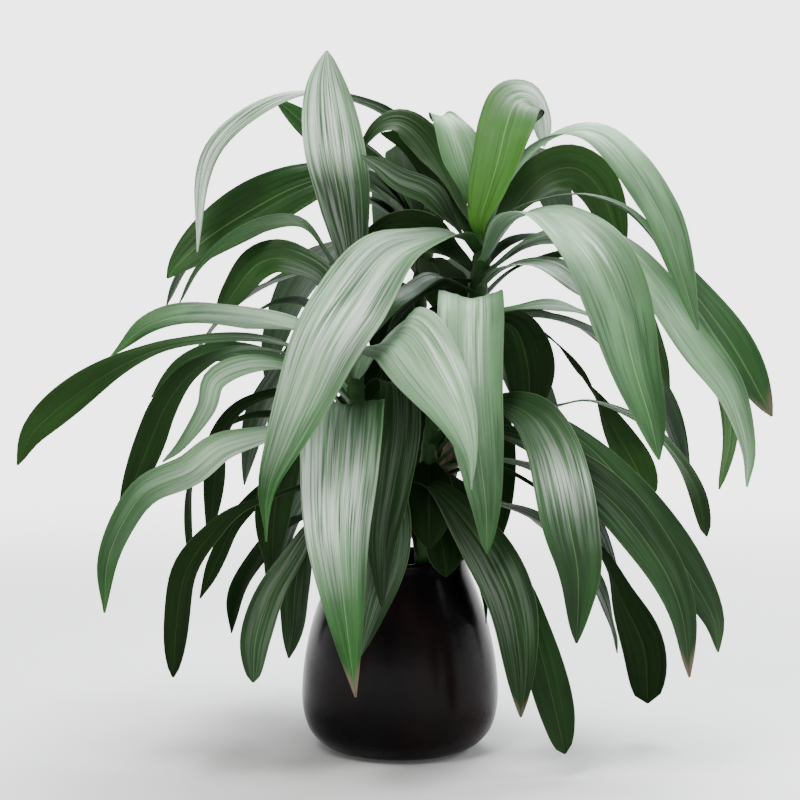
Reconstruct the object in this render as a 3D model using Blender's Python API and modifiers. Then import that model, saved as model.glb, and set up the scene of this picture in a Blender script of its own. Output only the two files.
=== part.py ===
"""A broad-leaved dracaena in a round glazed pot.

The pot, its soil, three woody canes and four leafy heads are separate closed solids.
Units are metres, +Z is up, the front is -Y and the origin is the middle of the pot's foot.
"""

import math
from collections import namedtuple

import bmesh
import bpy
from mathutils import Vector

CM = 0.01

# The pot: outer radii by height in centimetres, from the foot to the rim
POT_OUTLINE = [
    (6.2, 0.0),
    (8.0, 0.4),
    (9.5, 1.3),
    (10.7, 2.9),
    (11.3, 5.4),
    (11.3, 8.2),
    (10.9, 11.5),
    (10.1, 15.0),
    (9.0, 18.2),
    (8.0, 20.8),
    (7.7, 22.1),
]
POT_RIM_RISE = 0.4 * CM
POT_RIM_STEPS = 5
POT_WALL = 0.8 * CM
POT_FLOOR = 1.3 * CM
POT_FLOOR_ROUNDING = 0.5 * CM
POT_SIDES = 40

# Solids that touch lie this far apart
GAP = 0.0003

# The soil: the height of its surface and the size of its rounded edges
SOIL_TOP = 20.4 * CM
SOIL_EDGE_DROP = 0.3 * CM
SOIL_EDGE_INSET = 0.35 * CM
SOIL_FOOT_ROUNDING = 0.6 * CM

# Stems stand in plain holes of this depth, and rise straight for a little way above the soil
HOLE_DEPTH = 7.0 * CM
HOLE_SIDES = 16
STRAIGHT_FOOT = 0.6 * CM

# Stems: a woody cane is a little thicker than its green top, which narrows over its last part
STEM_SIDES = 10
CANE_EXTRA_RADIUS = 0.12 * CM
CANE_COLLAR = 1.2 * CM
CANE_BEND = 1.0 * CM
STEM_TIP = 4.0 * CM
STEM_TIP_RADII = (0.8, 0.25)

# The blades: BASE_WIDTH narrows over the first SHEATH_SHARE of the length, and a channel is so deep
# as a share of half the blade's width
BLADE_THICKNESS = 0.1 * CM
SEGMENT_LENGTH = 5.6 * CM
FEWEST_SEGMENTS = 4
BASE_WIDTH = 1.6 * CM
TIP_WIDTH = 0.22 * CM
SHEATH_SHARE = 0.35
CHANNEL_AT_BASE = 0.55
CHANNEL_AT_TIP = 0.14
BASE_SWELL = 0.75
ARCH_WIDEST = 0.55
ARCH_BEND = 0.8
CURVE_STEPS = 12

# Points closer than this are one point
MERGE_DISTANCE = 0.00001

# Where leaf bases are joined, edges shorter than this are merged, and faces thinner than this are
# given to their neighbours, in a few rounds
SHORTEST_EDGE = 0.0004
THINNEST_FACE = 0.00005
CLEANING_ROUNDS = 3
MOST_TURNS = 200

# A viewer in front sees the plant from here. Hand-placed leaves are set out as that viewer sees them.
VIEW_DISTANCE = 250.0
VIEW_ELEVATION = math.radians(4.0)
VIEW_AIM = 40.5

# A leaf set out by hand. root is its height on the stem, width its greatest width and widest how far
# along that comes. turn says how far the blade is turned to the front, half way along and at the tip.
# taper shapes the outer half: small is blunt, large is drawn out to a point.
# path lists (across, up, depth) in centimetres: where the viewer sees the midrib, measured on the
# upright plane through the pot's axis, and how far behind that plane it lies (in front is negative).
Leaf = namedtuple("Leaf", "name root width widest turn path taper", defaults=(0.75,))

# A leaf that grows out in one upright plane, with angles in degrees. azimuth is counted from +X
# towards +Y, rise is its slope at the stem and fall its slope at the tip.
Arch = namedtuple("Arch", "azimuth root rise fall length width")

# foot is where the stem stands in the soil, stem runs along the leafy part of it, in centimetres
Head = namedtuple("Head", "name foot cane stem radius leaves arches")

TALL = Head(
    name="leafy_head_tall",
    foot=(3.2, 0.5),
    cane="cane_tall",
    stem=[(8.0, -1.0, 44.0), (8.8, -1.5, 52.0), (9.6, -2.0, 60.0)],
    radius=1.1,
    leaves=[
        Leaf("bright upright", 58.5, 6.6, 0.52, (0.7, 0.55), [
            (9.2, 61.0, -4.0), (10.2, 64.5, -5.5), (11.3, 68.2, -6.0), (12.2, 72.0, -5.0),
            (13.3, 74.7, -2.4), (15.0, 75.0, 0.4), (16.2, 72.9, 2.4), (16.6, 69.6, 3.0)], 0.5),
        Leaf("pale upright", 59.5, 5.4, 0.55, (0.6, 0.3), [
            (8.4, 64.0, -3.0), (7.2, 68.5, -3.5), (6.0, 71.8, -3.0), (4.9, 73.2, -1.0),
            (4.2, 72.4, 1.5)]),
        Leaf("big right arch", 57.8, 5.2, 0.6, (0.4, 0.45), [
            (12.0, 64.6, -4.0), (15.5, 69.2, -6.0), (19.3, 71.3, -8.0), (23.0, 70.9, -10.0),
            (26.2, 67.9, -12.0), (29.0, 63.6, -13.0), (31.0, 59.3, -14.0), (34.3, 48.5, -15.0)]),
        Leaf("wide right", 55.6, 7.8, 0.55, (0.5, 0.6), [
            (12.0, 60.3, -7.0), (15.0, 62.0, -12.0), (18.0, 61.4, -16.0), (22.3, 57.4, -21.0),
            (25.0, 51.6, -24.0), (27.0, 44.0, -26.0), (28.8, 38.2, -26.5), (29.8, 33.6, -27.0)]),
        Leaf("far right", 56.6, 5.6, 0.75, (0.25, 0.9), [
            (12.0, 61.5, -1.0), (16.0, 63.5, 1.0), (20.7, 64.2, 2.0), (25.5, 62.6, 2.0),
            (29.0, 59.3, 1.0), (32.0, 55.2, 0.0), (38.0, 47.2, -1.0), (42.8, 38.6, -1.0)]),
        Leaf("dark behind", 58.2, 5.8, 0.6, (0.8, 0.9), [
            (13.0, 62.5, 5.0), (16.5, 66.2, 8.0), (19.8, 67.2, 10.0), (22.5, 65.4, 11.0),
            (24.3, 61.6, 12.0), (25.7, 56.8, 12.0)]),
        Leaf("sage right", 53.8, 4.6, 0.6, (0.6, 0.6), [
            (14.0, 58.4, -5.0), (20.0, 60.0, -7.0), (25.0, 58.2, -9.0), (28.5, 54.7, -11.0),
            (34.0, 47.0, -12.5), (38.0, 41.5, -13.0), (40.0, 35.0, -13.0), (39.9, 30.5, -13.0)]),
        Leaf("dark right hanging", 51.5, 3.6, 0.7, (0.6, 0.6), [
            (14.0, 56.0, 5.0), (22.0, 57.0, 8.0), (30.0, 53.0, 8.0), (35.0, 47.5, 7.0),
            (37.3, 42.0, 6.0), (38.0, 36.5, 6.0), (36.7, 30.2, 6.0)], 0.6),
        Leaf("long left", 57.2, 8.0, 0.5, (0.65, 0.5), [
            (6.9, 59.2, -6.0), (3.4, 58.9, -10.0), (-1.2, 57.0, -15.0), (-5.4, 51.6, -21.0),
            (-8.6, 46.6, -25.0), (-10.9, 41.2, -27.0), (-13.2, 35.6, -28.0), (-15.2, 30.0, -28.5),
            (-15.4, 24.2, -29.0)], 1.15),
        Leaf("front curtain", 45.6, 7.2, 0.4, (0.3, 0.3), [
            (8.1, 50.8, -8.5), (8.1, 52.2, -12.0), (8.1, 50.4, -15.0), (8.1, 46.0, -17.2),
            (8.4, 40.6, -18.5), (9.2, 34.0, -19.5), (9.9, 28.0, -19.5), (10.0, 22.8, -19.5)], 0.65),
        Leaf("left crest", 58.8, 4.6, 0.6, (0.5, 0.5), [
            (7.2, 62.0, -0.5), (5.0, 66.5, 0.5), (2.5, 70.5, 1.5), (0.0, 72.4, 1.5),
            (-2.5, 71.8, 1.0), (-4.6, 69.3, 0.5)]),
        Leaf("left dark rise", 60.4, 4.0, 0.6, (0.5, 0.5), [
            (8.4, 64.0, 3.5), (6.6, 67.5, 7.0), (4.6, 70.5, 9.5), (2.8, 72.6, 11.5)]),
        Leaf("left twist", 56.3, 3.0, 0.6, (0.8, 0.8), [
            (6.0, 60.9, -3.5), (3.5, 64.2, -5.0), (0.0, 65.8, -6.0), (-2.5, 67.5, -6.0),
            (-4.5, 68.6, -6.0)]),
        Leaf("left inner broad", 54.6, 5.6, 0.5, (0.8, 0.8), [
            (5.4, 57.4, 0.5), (2.6, 59.4, 1.0), (-0.6, 59.4, 1.0), (-3.8, 57.0, 1.0),
            (-6.0, 53.6, 1.0)]),
        Leaf("left inner rise", 57.4, 4.2, 0.55, (0.75, 0.75), [
            (6.6, 61.4, 2.0), (5.2, 64.6, 4.5), (3.4, 67.8, 6.0), (0.8, 70.2, 6.5), (-2.2, 71.2, 6.5)]),
        Leaf("left narrow", 52.4, 2.8, 0.6, (0.4, 0.4), [
            (4.5, 54.6, -6.0), (1.2, 53.0, -9.0), (-1.0, 51.4, -11.0), (-2.9, 48.2, -12.0)]),
        Leaf("grey right", 53.0, 3.8, 0.55, (0.35, 0.35), [
            (12.0, 55.6, -5.5), (15.5, 56.3, -8.5), (18.5, 55.3, -11.0), (22.0, 51.8, -13.0)]),
        Leaf("level right", 49.4, 3.6, 0.5, (0.25, 0.25), [
            (11.7, 50.6, -4.5), (16.7, 51.3, -7.0), (20.0, 50.8, -8.5), (23.2, 49.7, -9.5)]),
        Leaf("dark curtain", 46.4, 6.4, 0.55, (0.7, 0.7), [
            (11.0, 49.3, -2.5), (13.3, 48.6, -3.5), (14.6, 45.0, -4.0), (14.9, 41.0, -4.0),
            (14.7, 37.2, -4.0)]),
        Leaf("dark strap", 47.6, 5.2, 0.8, (0.2, 0.9), [
            (12.0, 49.5, 1.5), (17.6, 47.4, 4.5), (21.9, 41.8, 6.0), (24.5, 37.3, 6.0),
            (27.0, 33.0, 5.0), (28.8, 29.0, 5.0)], 0.5),
        Leaf("dark right inner", 54.6, 3.8, 0.6, (0.5, 0.7), [
            (16.0, 58.6, 0.5), (22.5, 57.0, 3.0), (27.0, 52.0, 4.0), (29.6, 46.0, 4.0), (31.0, 41.5, 4.0)]),
    ],
    arches=[
        Arch(72, 59.8, 66, -60, 48, 6.2),
        Arch(50, 55.0, 44, -72, 46, 6.2),
        Arch(30, 48.6, 26, -80, 42, 6.0),
        Arch(66, 45.6, 20, -82, 38, 5.8),
        Arch(172, 48.4, 10, -87, 19, 5.8),
        Arch(206, 46.8, -4, -88, 14, 5.4),
        Arch(75, 46.0, -35, -89, 28, 6.4),
        Arch(178, 54.0, 14, -86, 17, 5.8),
        Arch(192, 52.0, 4, -88, 15, 5.6),
    ],
)

FRONT = Head(
    name="leafy_head_front",
    foot=(-3.2, -2.6),
    cane="cane_front",
    stem=[(-3.8, -6.8, 25.0), (-4.2, -7.6, 34.0), (-5.0, -8.4, 44.0)],
    radius=1.1,
    leaves=[
        Leaf("tall upright", 43.6, 7.2, 0.7, (0.5, 0.4), [
            (-5.2, 50.0, -8.0), (-5.5, 56.0, -7.0), (-6.6, 63.5, -5.0), (-7.7, 69.3, -3.5),
            (-8.5, 76.5, -3.5), (-8.4, 80.7, -4.0)]),
        Leaf("front drop", 31.0, 8.6, 0.38, (0.0, 0.0), [
            (-5.8, 38.4, -13.0), (-6.2, 40.0, -16.2), (-6.5, 38.4, -19.0), (-6.9, 33.0, -22.5),
            (-7.2, 25.0, -26.5), (-6.2, 15.0, -28.5), (-5.1, 6.3, -29.5)], 0.85),
        Leaf("dark drop", 38.6, 5.0, 0.48, (0.3, 0.3), [
            (-2.4, 41.8, -9.0), (-0.4, 42.2, -11.0), (-0.3, 37.0, -13.5), (-1.2, 31.0, -15.5),
            (-2.2, 24.4, -17.0), (-2.1, 16.7, -17.5)]),
        Leaf("pale drop behind", 30, 4.4, 0.5, (0.3, 0.3), [
            (-2.6, 32.0, -11.0), (-1.2, 29.0, -13.5), (-1.2, 23.0, -15.0), (-3.2, 16.0, -16.5),
            (-4.6, 11.0, -17.5)]),
        Leaf("pleated fold", 42.8, 8.2, 0.46, (0.75, 0.75), [
            (-3.4, 45.9, -12.5), (-1.4, 47.4, -17.0), (0.6, 47.6, -20.5), (2.9, 44.5, -22.6),
            (5.4, 40.5, -23.6), (7.1, 37.0, -24.0), (8.1, 33.6, -23.8), (8.2, 30.2, -23.4)], 1.25),
        Leaf("left upper reach", 42.0, 5.2, 0.5, (0.35, 0.35), [
            (-9.0, 47.0, -9.5), (-14.0, 49.2, -11.0), (-23.0, 50.2, -12.5), (-29.0, 49.0, -13.0),
            (-33.3, 45.5, -13.0)]),
        Leaf("far left", 40.6, 5.0, 0.7, (0.3, 0.8), [
            (-9.0, 44.8, -6.0), (-16.0, 47.4, -5.0), (-25.0, 47.0, -4.0), (-31.0, 45.0, -4.0),
            (-37.0, 41.3, -4.0), (-42.0, 37.0, -4.5), (-44.0, 33.0, -4.5)]),
        Leaf("left small dark", 38.9, 3.4, 0.6, (0.4, 0.6), [
            (-12.0, 44.0, -0.5), (-20.0, 46.0, 2.0), (-25.0, 44.8, 3.5), (-28.6, 40.8, 4.0)]),
        Leaf("left pale then dark", 39.8, 4.0, 0.72, (0.4, 0.8), [
            (-11.0, 45.0, -8.5), (-18.0, 46.4, -9.0), (-23.5, 44.0, -9.5), (-26.8, 40.0, -9.5),
            (-28.8, 35.5, -10.0), (-32.2, 27.2, -10.0)]),
        Leaf("left pale inner", 38.0, 3.2, 0.6, (0.4, 0.5), [
            (-10.0, 43.0, -12.0), (-16.0, 44.6, -14.0), (-21.0, 43.0, -14.5), (-22.3, 39.5, -14.5),
            (-25.0, 35.4, -14.5), (-27.3, 33.4, -14.5)]),
        Leaf("left low sweep", 34.6, 4.4, 0.55, (0.5, 0.6), [
            (-10.0, 37.7, -12.5), (-15.0, 36.5, -15.5), (-20.5, 35.0, -17.5), (-24.2, 32.2, -18.5),
            (-28.8, 30.2, -19.5), (-31.5, 27.0, -20.0), (-33.6, 22.0, -20.0), (-34.0, 16.0, -20.0)]),
        Leaf("left dark hanging", 37.2, 3.6, 0.65, (0.4, 0.7), [
            (-9.0, 41.0, -4.5), (-14.0, 41.2, -3.0), (-18.5, 39.5, -2.0), (-20.8, 36.0, -2.0),
            (-21.3, 31.0, -2.0), (-22.0, 24.4, -2.0)]),
        Leaf("left dark narrow", 34, 3.0, 0.65, (0.3, 0.6), [
            (-10.0, 38.0, 1.0), (-18.0, 38.3, 4.0), (-22.5, 34.5, 5.0), (-24.2, 30.0, 5.0),
            (-24.0, 21.0, 5.0)]),
        Leaf("left low brown", 31.2, 3.6, 0.75, (0.15, 0.7), [
            (-7.5, 31.6, -13.0), (-11.0, 30.4, -18.0), (-14.5, 29.3, -20.0), (-18.4, 28.0, -21.0),
            (-21.3, 25.5, -21.5), (-24.5, 21.0, -22.0), (-25.6, 15.5, -22.0), (-26.1, 8.6, -22.0)], 0.6),
        Leaf("left low dark", 29, 3.2, 0.6, (0.4, 0.6), [
            (-9.0, 32.0, -6.0), (-14.0, 31.0, -6.0), (-18.5, 27.0, -6.5), (-20.8, 22.5, -7.0),
            (-23.0, 17.7, -7.0)]),
        Leaf("low left blunt", 28.2, 3.6, 0.75, (0.4, 0.7), [
            (-7.5, 28.5, -14.0), (-10.0, 26.0, -17.5), (-12.5, 22.0, -19.5), (-15.0, 18.0, -20.5),
            (-16.6, 13.0, -21.0), (-16.9, 8.0, -21.0)], 0.5),
        Leaf("low left short", 26.6, 3.5, 0.65, (0.5, 0.7), [
            (-8.0, 27.2, -11.0), (-11.0, 24.0, -13.0), (-12.0, 19.0, -14.5), (-12.3, 14.5, -15.0),
            (-12.8, 10.8, -15.0)]),
        Leaf("left shoulder arc", 44.0, 4.0, 0.6, (0.3, 0.2), [
            (-6.0, 52.0, -10.0), (-8.6, 57.4, -10.5), (-11.7, 60.8, -11.5), (-17.2, 59.9, -12.5),
            (-22.4, 56.6, -13.5), (-25.4, 51.6, -14.0)]),
        Leaf("left green hanging", 43.2, 5.0, 0.65, (0.5, 0.8), [
            (-8.0, 53.4, -4.5), (-12.6, 56.6, -2.5), (-16.2, 56.2, -1.5), (-19.0, 53.0, -0.5),
            (-21.2, 49.2, -0.5)]),
        Leaf("left sliver", 41.4, 3.0, 0.6, (0.1, 0.2), [
            (-8.0, 49.4, -6.0), (-11.0, 51.6, -6.0), (-14.5, 51.5, -5.5), (-18.4, 49.7, -5.0)]),
        Leaf("dark mass left", 33.0, 5.4, 0.6, (0.2, 0.3), [
            (-8.0, 35.2, -10.5), (-12.0, 34.8, -13.0), (-14.0, 30.0, -14.0), (-14.6, 25.0, -14.5),
            (-14.6, 19.8, -14.5)]),
    ],
    arches=[
        Arch(118, 30.8, 30, -80, 34, 5.4),
        Arch(152, 28.0, 16, -84, 26, 5.0),
        Arch(112, 39.0, 44, -76, 38, 5.6),
        Arch(-12, 31.6, -15, -84, 11, 5.2),
        Arch(66, 32.4, 6, -88, 13, 5.2),
    ],
)

LOW = Head(
    name="leafy_head_low",
    foot=(2.6, -4.2),
    cane=None,
    stem=[(2.6, -4.9, 24.0), (3.0, -5.6, 31.0), (3.4, -6.2, 37.0)],
    radius=1.0,
    leaves=[
        Leaf("front right", 35.2, 6.6, 0.62, (0.5, 0.5), [
            (7.0, 38.8, -10.0), (11.0, 40.1, -13.0), (14.8, 38.8, -17.0), (17.2, 35.5, -20.0),
            (18.6, 31.0, -22.0), (19.6, 25.5, -23.0), (20.5, 20.0, -24.0), (20.3, 12.5, -24.0)]),
        Leaf("low front", 29.4, 6.0, 0.55, (0.3, 0.3), [
            (2.6, 30.6, -9.5), (4.6, 29.8, -12.0), (7.5, 26.5, -14.5), (10.5, 22.0, -17.0),
            (12.8, 16.5, -19.0), (13.8, 10.0, -20.0), (13.9, 4.0, -20.0)]),
        Leaf("low behind", 27.4, 5.0, 0.76, (0.4, 0.5), [
            (6.0, 27.3, -7.5), (10.0, 24.5, -9.5), (13.5, 19.5, -12.0), (15.5, 14.0, -14.0),
            (17.2, 7.5, -15.0), (19.0, -0.2, -15.0)], 0.5),
        Leaf("right long", 34.0, 5.2, 0.68, (0.5, 0.7), [
            (10.0, 39.8, -6.5), (16.0, 38.8, -8.5), (21.5, 35.3, -9.5), (26.0, 30.5, -11.0),
            (29.8, 25.5, -12.0), (33.2, 20.5, -12.5), (36.0, 15.5, -12.5), (36.6, 11.5, -12.5)]),
        Leaf("right front", 32.8, 5.2, 0.6, (0.6, 0.7), [
            (9.0, 36.6, -10.0), (15.0, 35.4, -13.0), (20.0, 32.3, -15.5), (24.0, 29.2, -17.5),
            (27.4, 25.4, -18.5), (30.6, 20.6, -19.5), (32.5, 15.5, -20.0), (33.3, 8.6, -20.0)]),
        Leaf("right black", 31.0, 5.6, 0.82, (0.2, 0.9), [
            (9.0, 33.0, -1.5), (15.0, 31.0, 1.0), (20.0, 27.0, 2.5), (23.5, 22.0, 3.5),
            (25.5, 17.5, 3.5), (28.0, 12.0, 3.5), (28.5, 5.6, 3.5)], 0.4),
        Leaf("right thin arc", 36.6, 3.8, 0.8, (0.1, 0.6), [
            (8.0, 38.4, -3.5), (13.0, 38.9, -2.0), (17.6, 39.7, -0.5), (21.9, 40.4, 0.5),
            (27.6, 38.0, 1.5), (31.3, 34.5, 1.5), (34.0, 30.0, 1.5), (35.3, 24.8, 1.5)], 0.5),
    ],
    arches=[
        Arch(30, 32.2, 30, -80, 36, 5.4),
        Arch(20, 28.6, 20, -82, 34, 5.2),
        Arch(2, 26.6, -20, -88, 14, 5.0),
        Arch(270, 34.0, -10, -88, 12, 5.6),
        Arch(328, 33.0, -10, -88, 13, 5.6),
        Arch(300, 28.6, -20, -88, 9, 5.2),
    ],
)

REAR = Head(
    name="leafy_head_rear",
    foot=(-0.6, 4.2),
    cane="cane_rear",
    stem=[(1.5, 9.0, 45.0), (2.4, 9.8, 53.0), (3.4, 10.6, 61.0)],
    radius=1.1,
    leaves=[
        Leaf("big dark left", 58.4, 6.2, 0.68, (0.8, 0.8), [
            (-2.0, 63.8, 8.0), (-7.0, 66.0, 5.0), (-11.5, 65.2, 2.0), (-17.0, 62.4, -1.0),
            (-22.0, 59.2, -3.0), (-25.4, 56.2, -4.0), (-26.8, 54.5, -4.0)]),
        Leaf("thin arch", 60.4, 4.2, 0.55, (0.1, 0.1), [
            (2.0, 68.0, 9.5), (-1.0, 72.6, 7.5), (-4.8, 74.7, 4.5), (-9.8, 75.9, 0.5),
            (-14.9, 74.7, -3.0), (-20.0, 70.9, -5.5), (-22.4, 66.2, -7.0), (-23.3, 57.5, -7.5)]),
        Leaf("small left behind", 59, 3.8, 0.65, (0.7, 0.8), [
            (-1.0, 66.0, 11.0), (-6.0, 69.6, 11.0), (-10.0, 71.6, 10.0), (-14.4, 75.2, 9.0)]),
    ],
    arches=[
        Arch(176, 52.2, 42, -76, 38, 5.8),
        Arch(150, 57.4, 58, -64, 46, 6.2),
        Arch(124, 54.2, 44, -72, 46, 6.4),
        Arch(98, 59.4, 62, -60, 48, 6.2),
        Arch(76, 53.2, 36, -76, 44, 6.4),
        Arch(140, 48.4, 22, -82, 40, 5.8),
        Arch(108, 46.4, 12, -84, 38, 5.8),
        Arch(72, 49.6, 20, -84, 38, 5.8),
        Arch(-70, 46.8, -45, -89, 18, 6.2),
        Arch(-118, 46.8, -35, -89, 20, 6.2),
        Arch(200, 47.0, -30, -89, 20, 6.2),
        Arch(160, 46.4, -20, -89, 28, 6.8),
        Arch(126, 45.8, -10, -89, 30, 6.8),
        Arch(92, 46.6, -5, -89, 28, 6.8),
        Arch(56, 46.0, -10, -89, 28, 6.8),
        Arch(232, 57.0, 20, -86, 20, 6.0),
        Arch(236, 53.4, 0, -88, 13, 6.0),
        Arch(292, 56.4, 10, -88, 12, 6.0),
        Arch(96, 58.4, 82, 10, 21, 8.6),
        Arch(40, 57.2, 76, 0, 19, 6.4),
        Arch(146, 57.6, 78, 0, 21, 7.6),
    ],
)

HEADS = [TALL, FRONT, LOW, REAR]

# Each material's colour, roughness and metallic value
LEAF_GREEN = ("leaf_green", (0.075, 0.16, 0.095, 1.0), 0.42, 0.0)
BARK_BROWN = ("bark_brown", (0.11, 0.07, 0.045, 1.0), 0.85, 0.0)
SOIL_BROWN = ("soil_brown", (0.035, 0.024, 0.018, 1.0), 0.95, 0.0)
POT_BLACK = ("pot_black", (0.012, 0.008, 0.009, 1.0), 0.25, 0.0)


def make_material(name, colour, roughness, metallic):
    """A Principled material."""
    material = bpy.data.materials.new(name)
    material.use_nodes = True
    shader = material.node_tree.nodes["Principled BSDF"]
    shader.inputs["Base Color"].default_value = colour
    shader.inputs["Roughness"].default_value = roughness
    shader.inputs["Metallic"].default_value = metallic
    material.diffuse_color = colour
    return material


def make_object(name, mesh, collection, material):
    """An object that shows the mesh, in the collection."""
    thing = bpy.data.objects.new(name, mesh)
    mesh.materials.append(material)
    collection.objects.link(thing)
    return thing


def evaluated_mesh(thing):
    """The object's mesh with its modifiers applied."""
    bpy.context.view_layer.update()
    graph = bpy.context.evaluated_depsgraph_get()
    return bpy.data.meshes.new_from_object(thing.evaluated_get(graph))


def turned_mesh(name, profile, sides, collection, material):
    """A profile of (radius, height) points turned round the Z axis, from inside bottom to outside."""
    mesh = bpy.data.meshes.new(name)
    points = [(radius, 0.0, height) for radius, height in profile]
    edges = [(i, i + 1) for i in range(len(points) - 1)]
    mesh.from_pydata(points, edges, [])
    thing = make_object(name, mesh, collection, material)
    screw = thing.modifiers.new("turned", "SCREW")
    screw.steps = sides
    screw.render_steps = sides
    screw.use_merge_vertices = True
    screw.merge_threshold = MERGE_DISTANCE
    screw.use_smooth_shade = True
    return thing


def spline_point(before, start, end, after, t):
    """A point between start and end on the Catmull-Rom curve through four points."""
    return 0.5 * (
        2.0 * start
        + (end - before) * t
        + (2.0 * before - 5.0 * start + 4.0 * end - after) * t * t
        + (3.0 * start - before - 3.0 * end + after) * t * t * t
    )


def smooth_path(points, steps):
    """A Catmull-Rom curve through the points, with this many steps between each two."""
    ends = [2.0 * points[0] - points[1]] + points + [2.0 * points[-1] - points[-2]]
    curve = []
    for i in range(len(points) - 1):
        for step in range(steps):
            curve.append(spline_point(ends[i], ends[i + 1], ends[i + 2], ends[i + 3], step / steps))
    curve.append(points[-1])
    return curve


def even_points(curve, count):
    """count + 1 points spread evenly by length along a curve."""
    lengths = [0.0]
    for first, second in zip(curve, curve[1:]):
        lengths.append(lengths[-1] + (second - first).length)
    points = []
    place = 0
    for i in range(count + 1):
        wanted = lengths[-1] * i / count
        while place < len(curve) - 2 and lengths[place + 1] < wanted:
            place += 1
        step = lengths[place + 1] - lengths[place]
        points.append(curve[place].lerp(curve[place + 1], (wanted - lengths[place]) / step))
    return points


def seen_point(across, up, depth):
    """The point at this depth that the viewer sees at (across, up) on the plane through the axis."""
    rise = Vector((0.0, math.sin(VIEW_ELEVATION), math.cos(VIEW_ELEVATION)))
    back = Vector((0.0, -math.cos(VIEW_ELEVATION), math.sin(VIEW_ELEVATION)))
    aim = Vector((0.0, 0.0, VIEW_AIM))
    viewer = aim + back * VIEW_DISTANCE
    seen = aim + rise * (up - VIEW_AIM) + Vector((across, 0.0, 0.0))
    reach = (depth - viewer.y) / (seen.y - viewer.y)
    return viewer.lerp(seen, reach) * CM


def stem_point(head, height):
    """The point of the head's stem axis at a height in centimetres."""
    points = [Vector(point) for point in head.stem]
    for low, high in zip(points, points[1:]):
        if height <= high.z or high is points[-1]:
            return low.lerp(high, (height - low.z) / (high.z - low.z)) * CM


def arch_path(head, arch):
    """The midrib of a leaf that arches over in one upright plane."""
    outward = Vector((math.cos(math.radians(arch.azimuth)), math.sin(math.radians(arch.azimuth)), 0.0))
    point = stem_point(head, arch.root)
    points = [point]
    for step in range(CURVE_STEPS):
        bent = ((step + 0.5) / CURVE_STEPS) ** ARCH_BEND
        slope = math.radians(arch.rise + (arch.fall - arch.rise) * bent)
        along = outward * math.cos(slope) + Vector((0.0, 0.0, math.sin(slope)))
        point = point + along * (arch.length * CM / CURVE_STEPS)
        points.append(point)
    return points


def blade_width(part, width, widest, taper):
    """The blade's width at this part of its length, from 0 at the stem to 1 at the tip."""
    power = math.log(0.5) / math.log(widest)
    swell = BASE_SWELL if part < widest else taper
    blade = width * math.sin(math.pi * min(1.0, part**power)) ** swell
    sheath = BASE_WIDTH * max(0.0, 1.0 - part / SHEATH_SHARE)
    return max(blade, sheath, TIP_WIDTH)


def blade_turn(part, turn):
    """How far the blade is turned to the front at this part of its length."""
    middle, tip = turn
    if part < 0.5:
        return middle * part / 0.5
    return middle + (tip - middle) * (part - 0.5) / 0.5


def blade_frames(points, turn):
    """For each point of the midrib its side and its upward normal."""
    outward = points[-1] - points[0]
    outward.z = 0.0
    outward.normalize()
    level_side = outward.cross(Vector((0.0, 0.0, 1.0)))
    front = Vector((0.0, -1.0, 0.0))
    frames = []
    for i in range(len(points)):
        along = (points[min(i + 1, len(points) - 1)] - points[max(i - 1, 0)]).normalized()
        upper = level_side.cross(along).normalized()
        share = blade_turn(i / (len(points) - 1), turn)
        face = upper.lerp(front, share)
        side = along.cross(face).normalized()
        frames.append((side, side.cross(along).normalized()))
    return frames


def face_outwards(solid):
    """Makes all faces of a closed solid face outwards. Its volume shows when they all face inwards."""
    bmesh.ops.recalc_face_normals(solid, faces=solid.faces[:])
    if solid.calc_volume(signed=True) < 0.0:
        bmesh.ops.reverse_faces(solid, faces=solid.faces[:])


def blade_mesh(name, path, width, widest, turn, taper):
    """A thin channelled blade as one closed solid, split alike on both faces."""
    curve = smooth_path(path, CURVE_STEPS)
    length = sum((second - first).length for first, second in zip(curve, curve[1:]))
    segments = max(FEWEST_SEGMENTS, round(length / SEGMENT_LENGTH))
    points = even_points(curve, segments)
    frames = blade_frames(points, turn)
    rings = bmesh.new()
    corners = []
    for i, (point, (side, normal)) in enumerate(zip(points, frames)):
        part = i / segments
        half = 0.5 * blade_width(part, width, widest, taper)
        channel = CHANNEL_AT_BASE + (CHANNEL_AT_TIP - CHANNEL_AT_BASE) * min(1.0, part / 0.5)
        lift = normal * (half * channel)
        thick = normal * BLADE_THICKNESS
        top = [point - side * half + lift, point, point + side * half + lift]
        bottom = [corner - thick for corner in top]
        corners.append([rings.verts.new(corner) for corner in top + bottom[::-1]])
    for lower, upper in zip(corners, corners[1:]):
        for k in range(6):
            a, b = lower[k], lower[(k + 1) % 6]
            c, d = upper[(k + 1) % 6], upper[k]
            if k in (0, 3, 5):
                rings.faces.new((a, b, c))
                rings.faces.new((a, c, d))
            else:
                rings.faces.new((a, b, d))
                rings.faces.new((b, c, d))
    for ring in (corners[0], corners[-1]):
        for a, b, c in ((0, 1, 4), (0, 4, 5), (1, 2, 3), (1, 3, 4)):
            rings.faces.new((ring[a], ring[b], ring[c]))
    face_outwards(rings)
    mesh = bpy.data.meshes.new(name)
    rings.to_mesh(mesh)
    rings.free()
    return mesh


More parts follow.
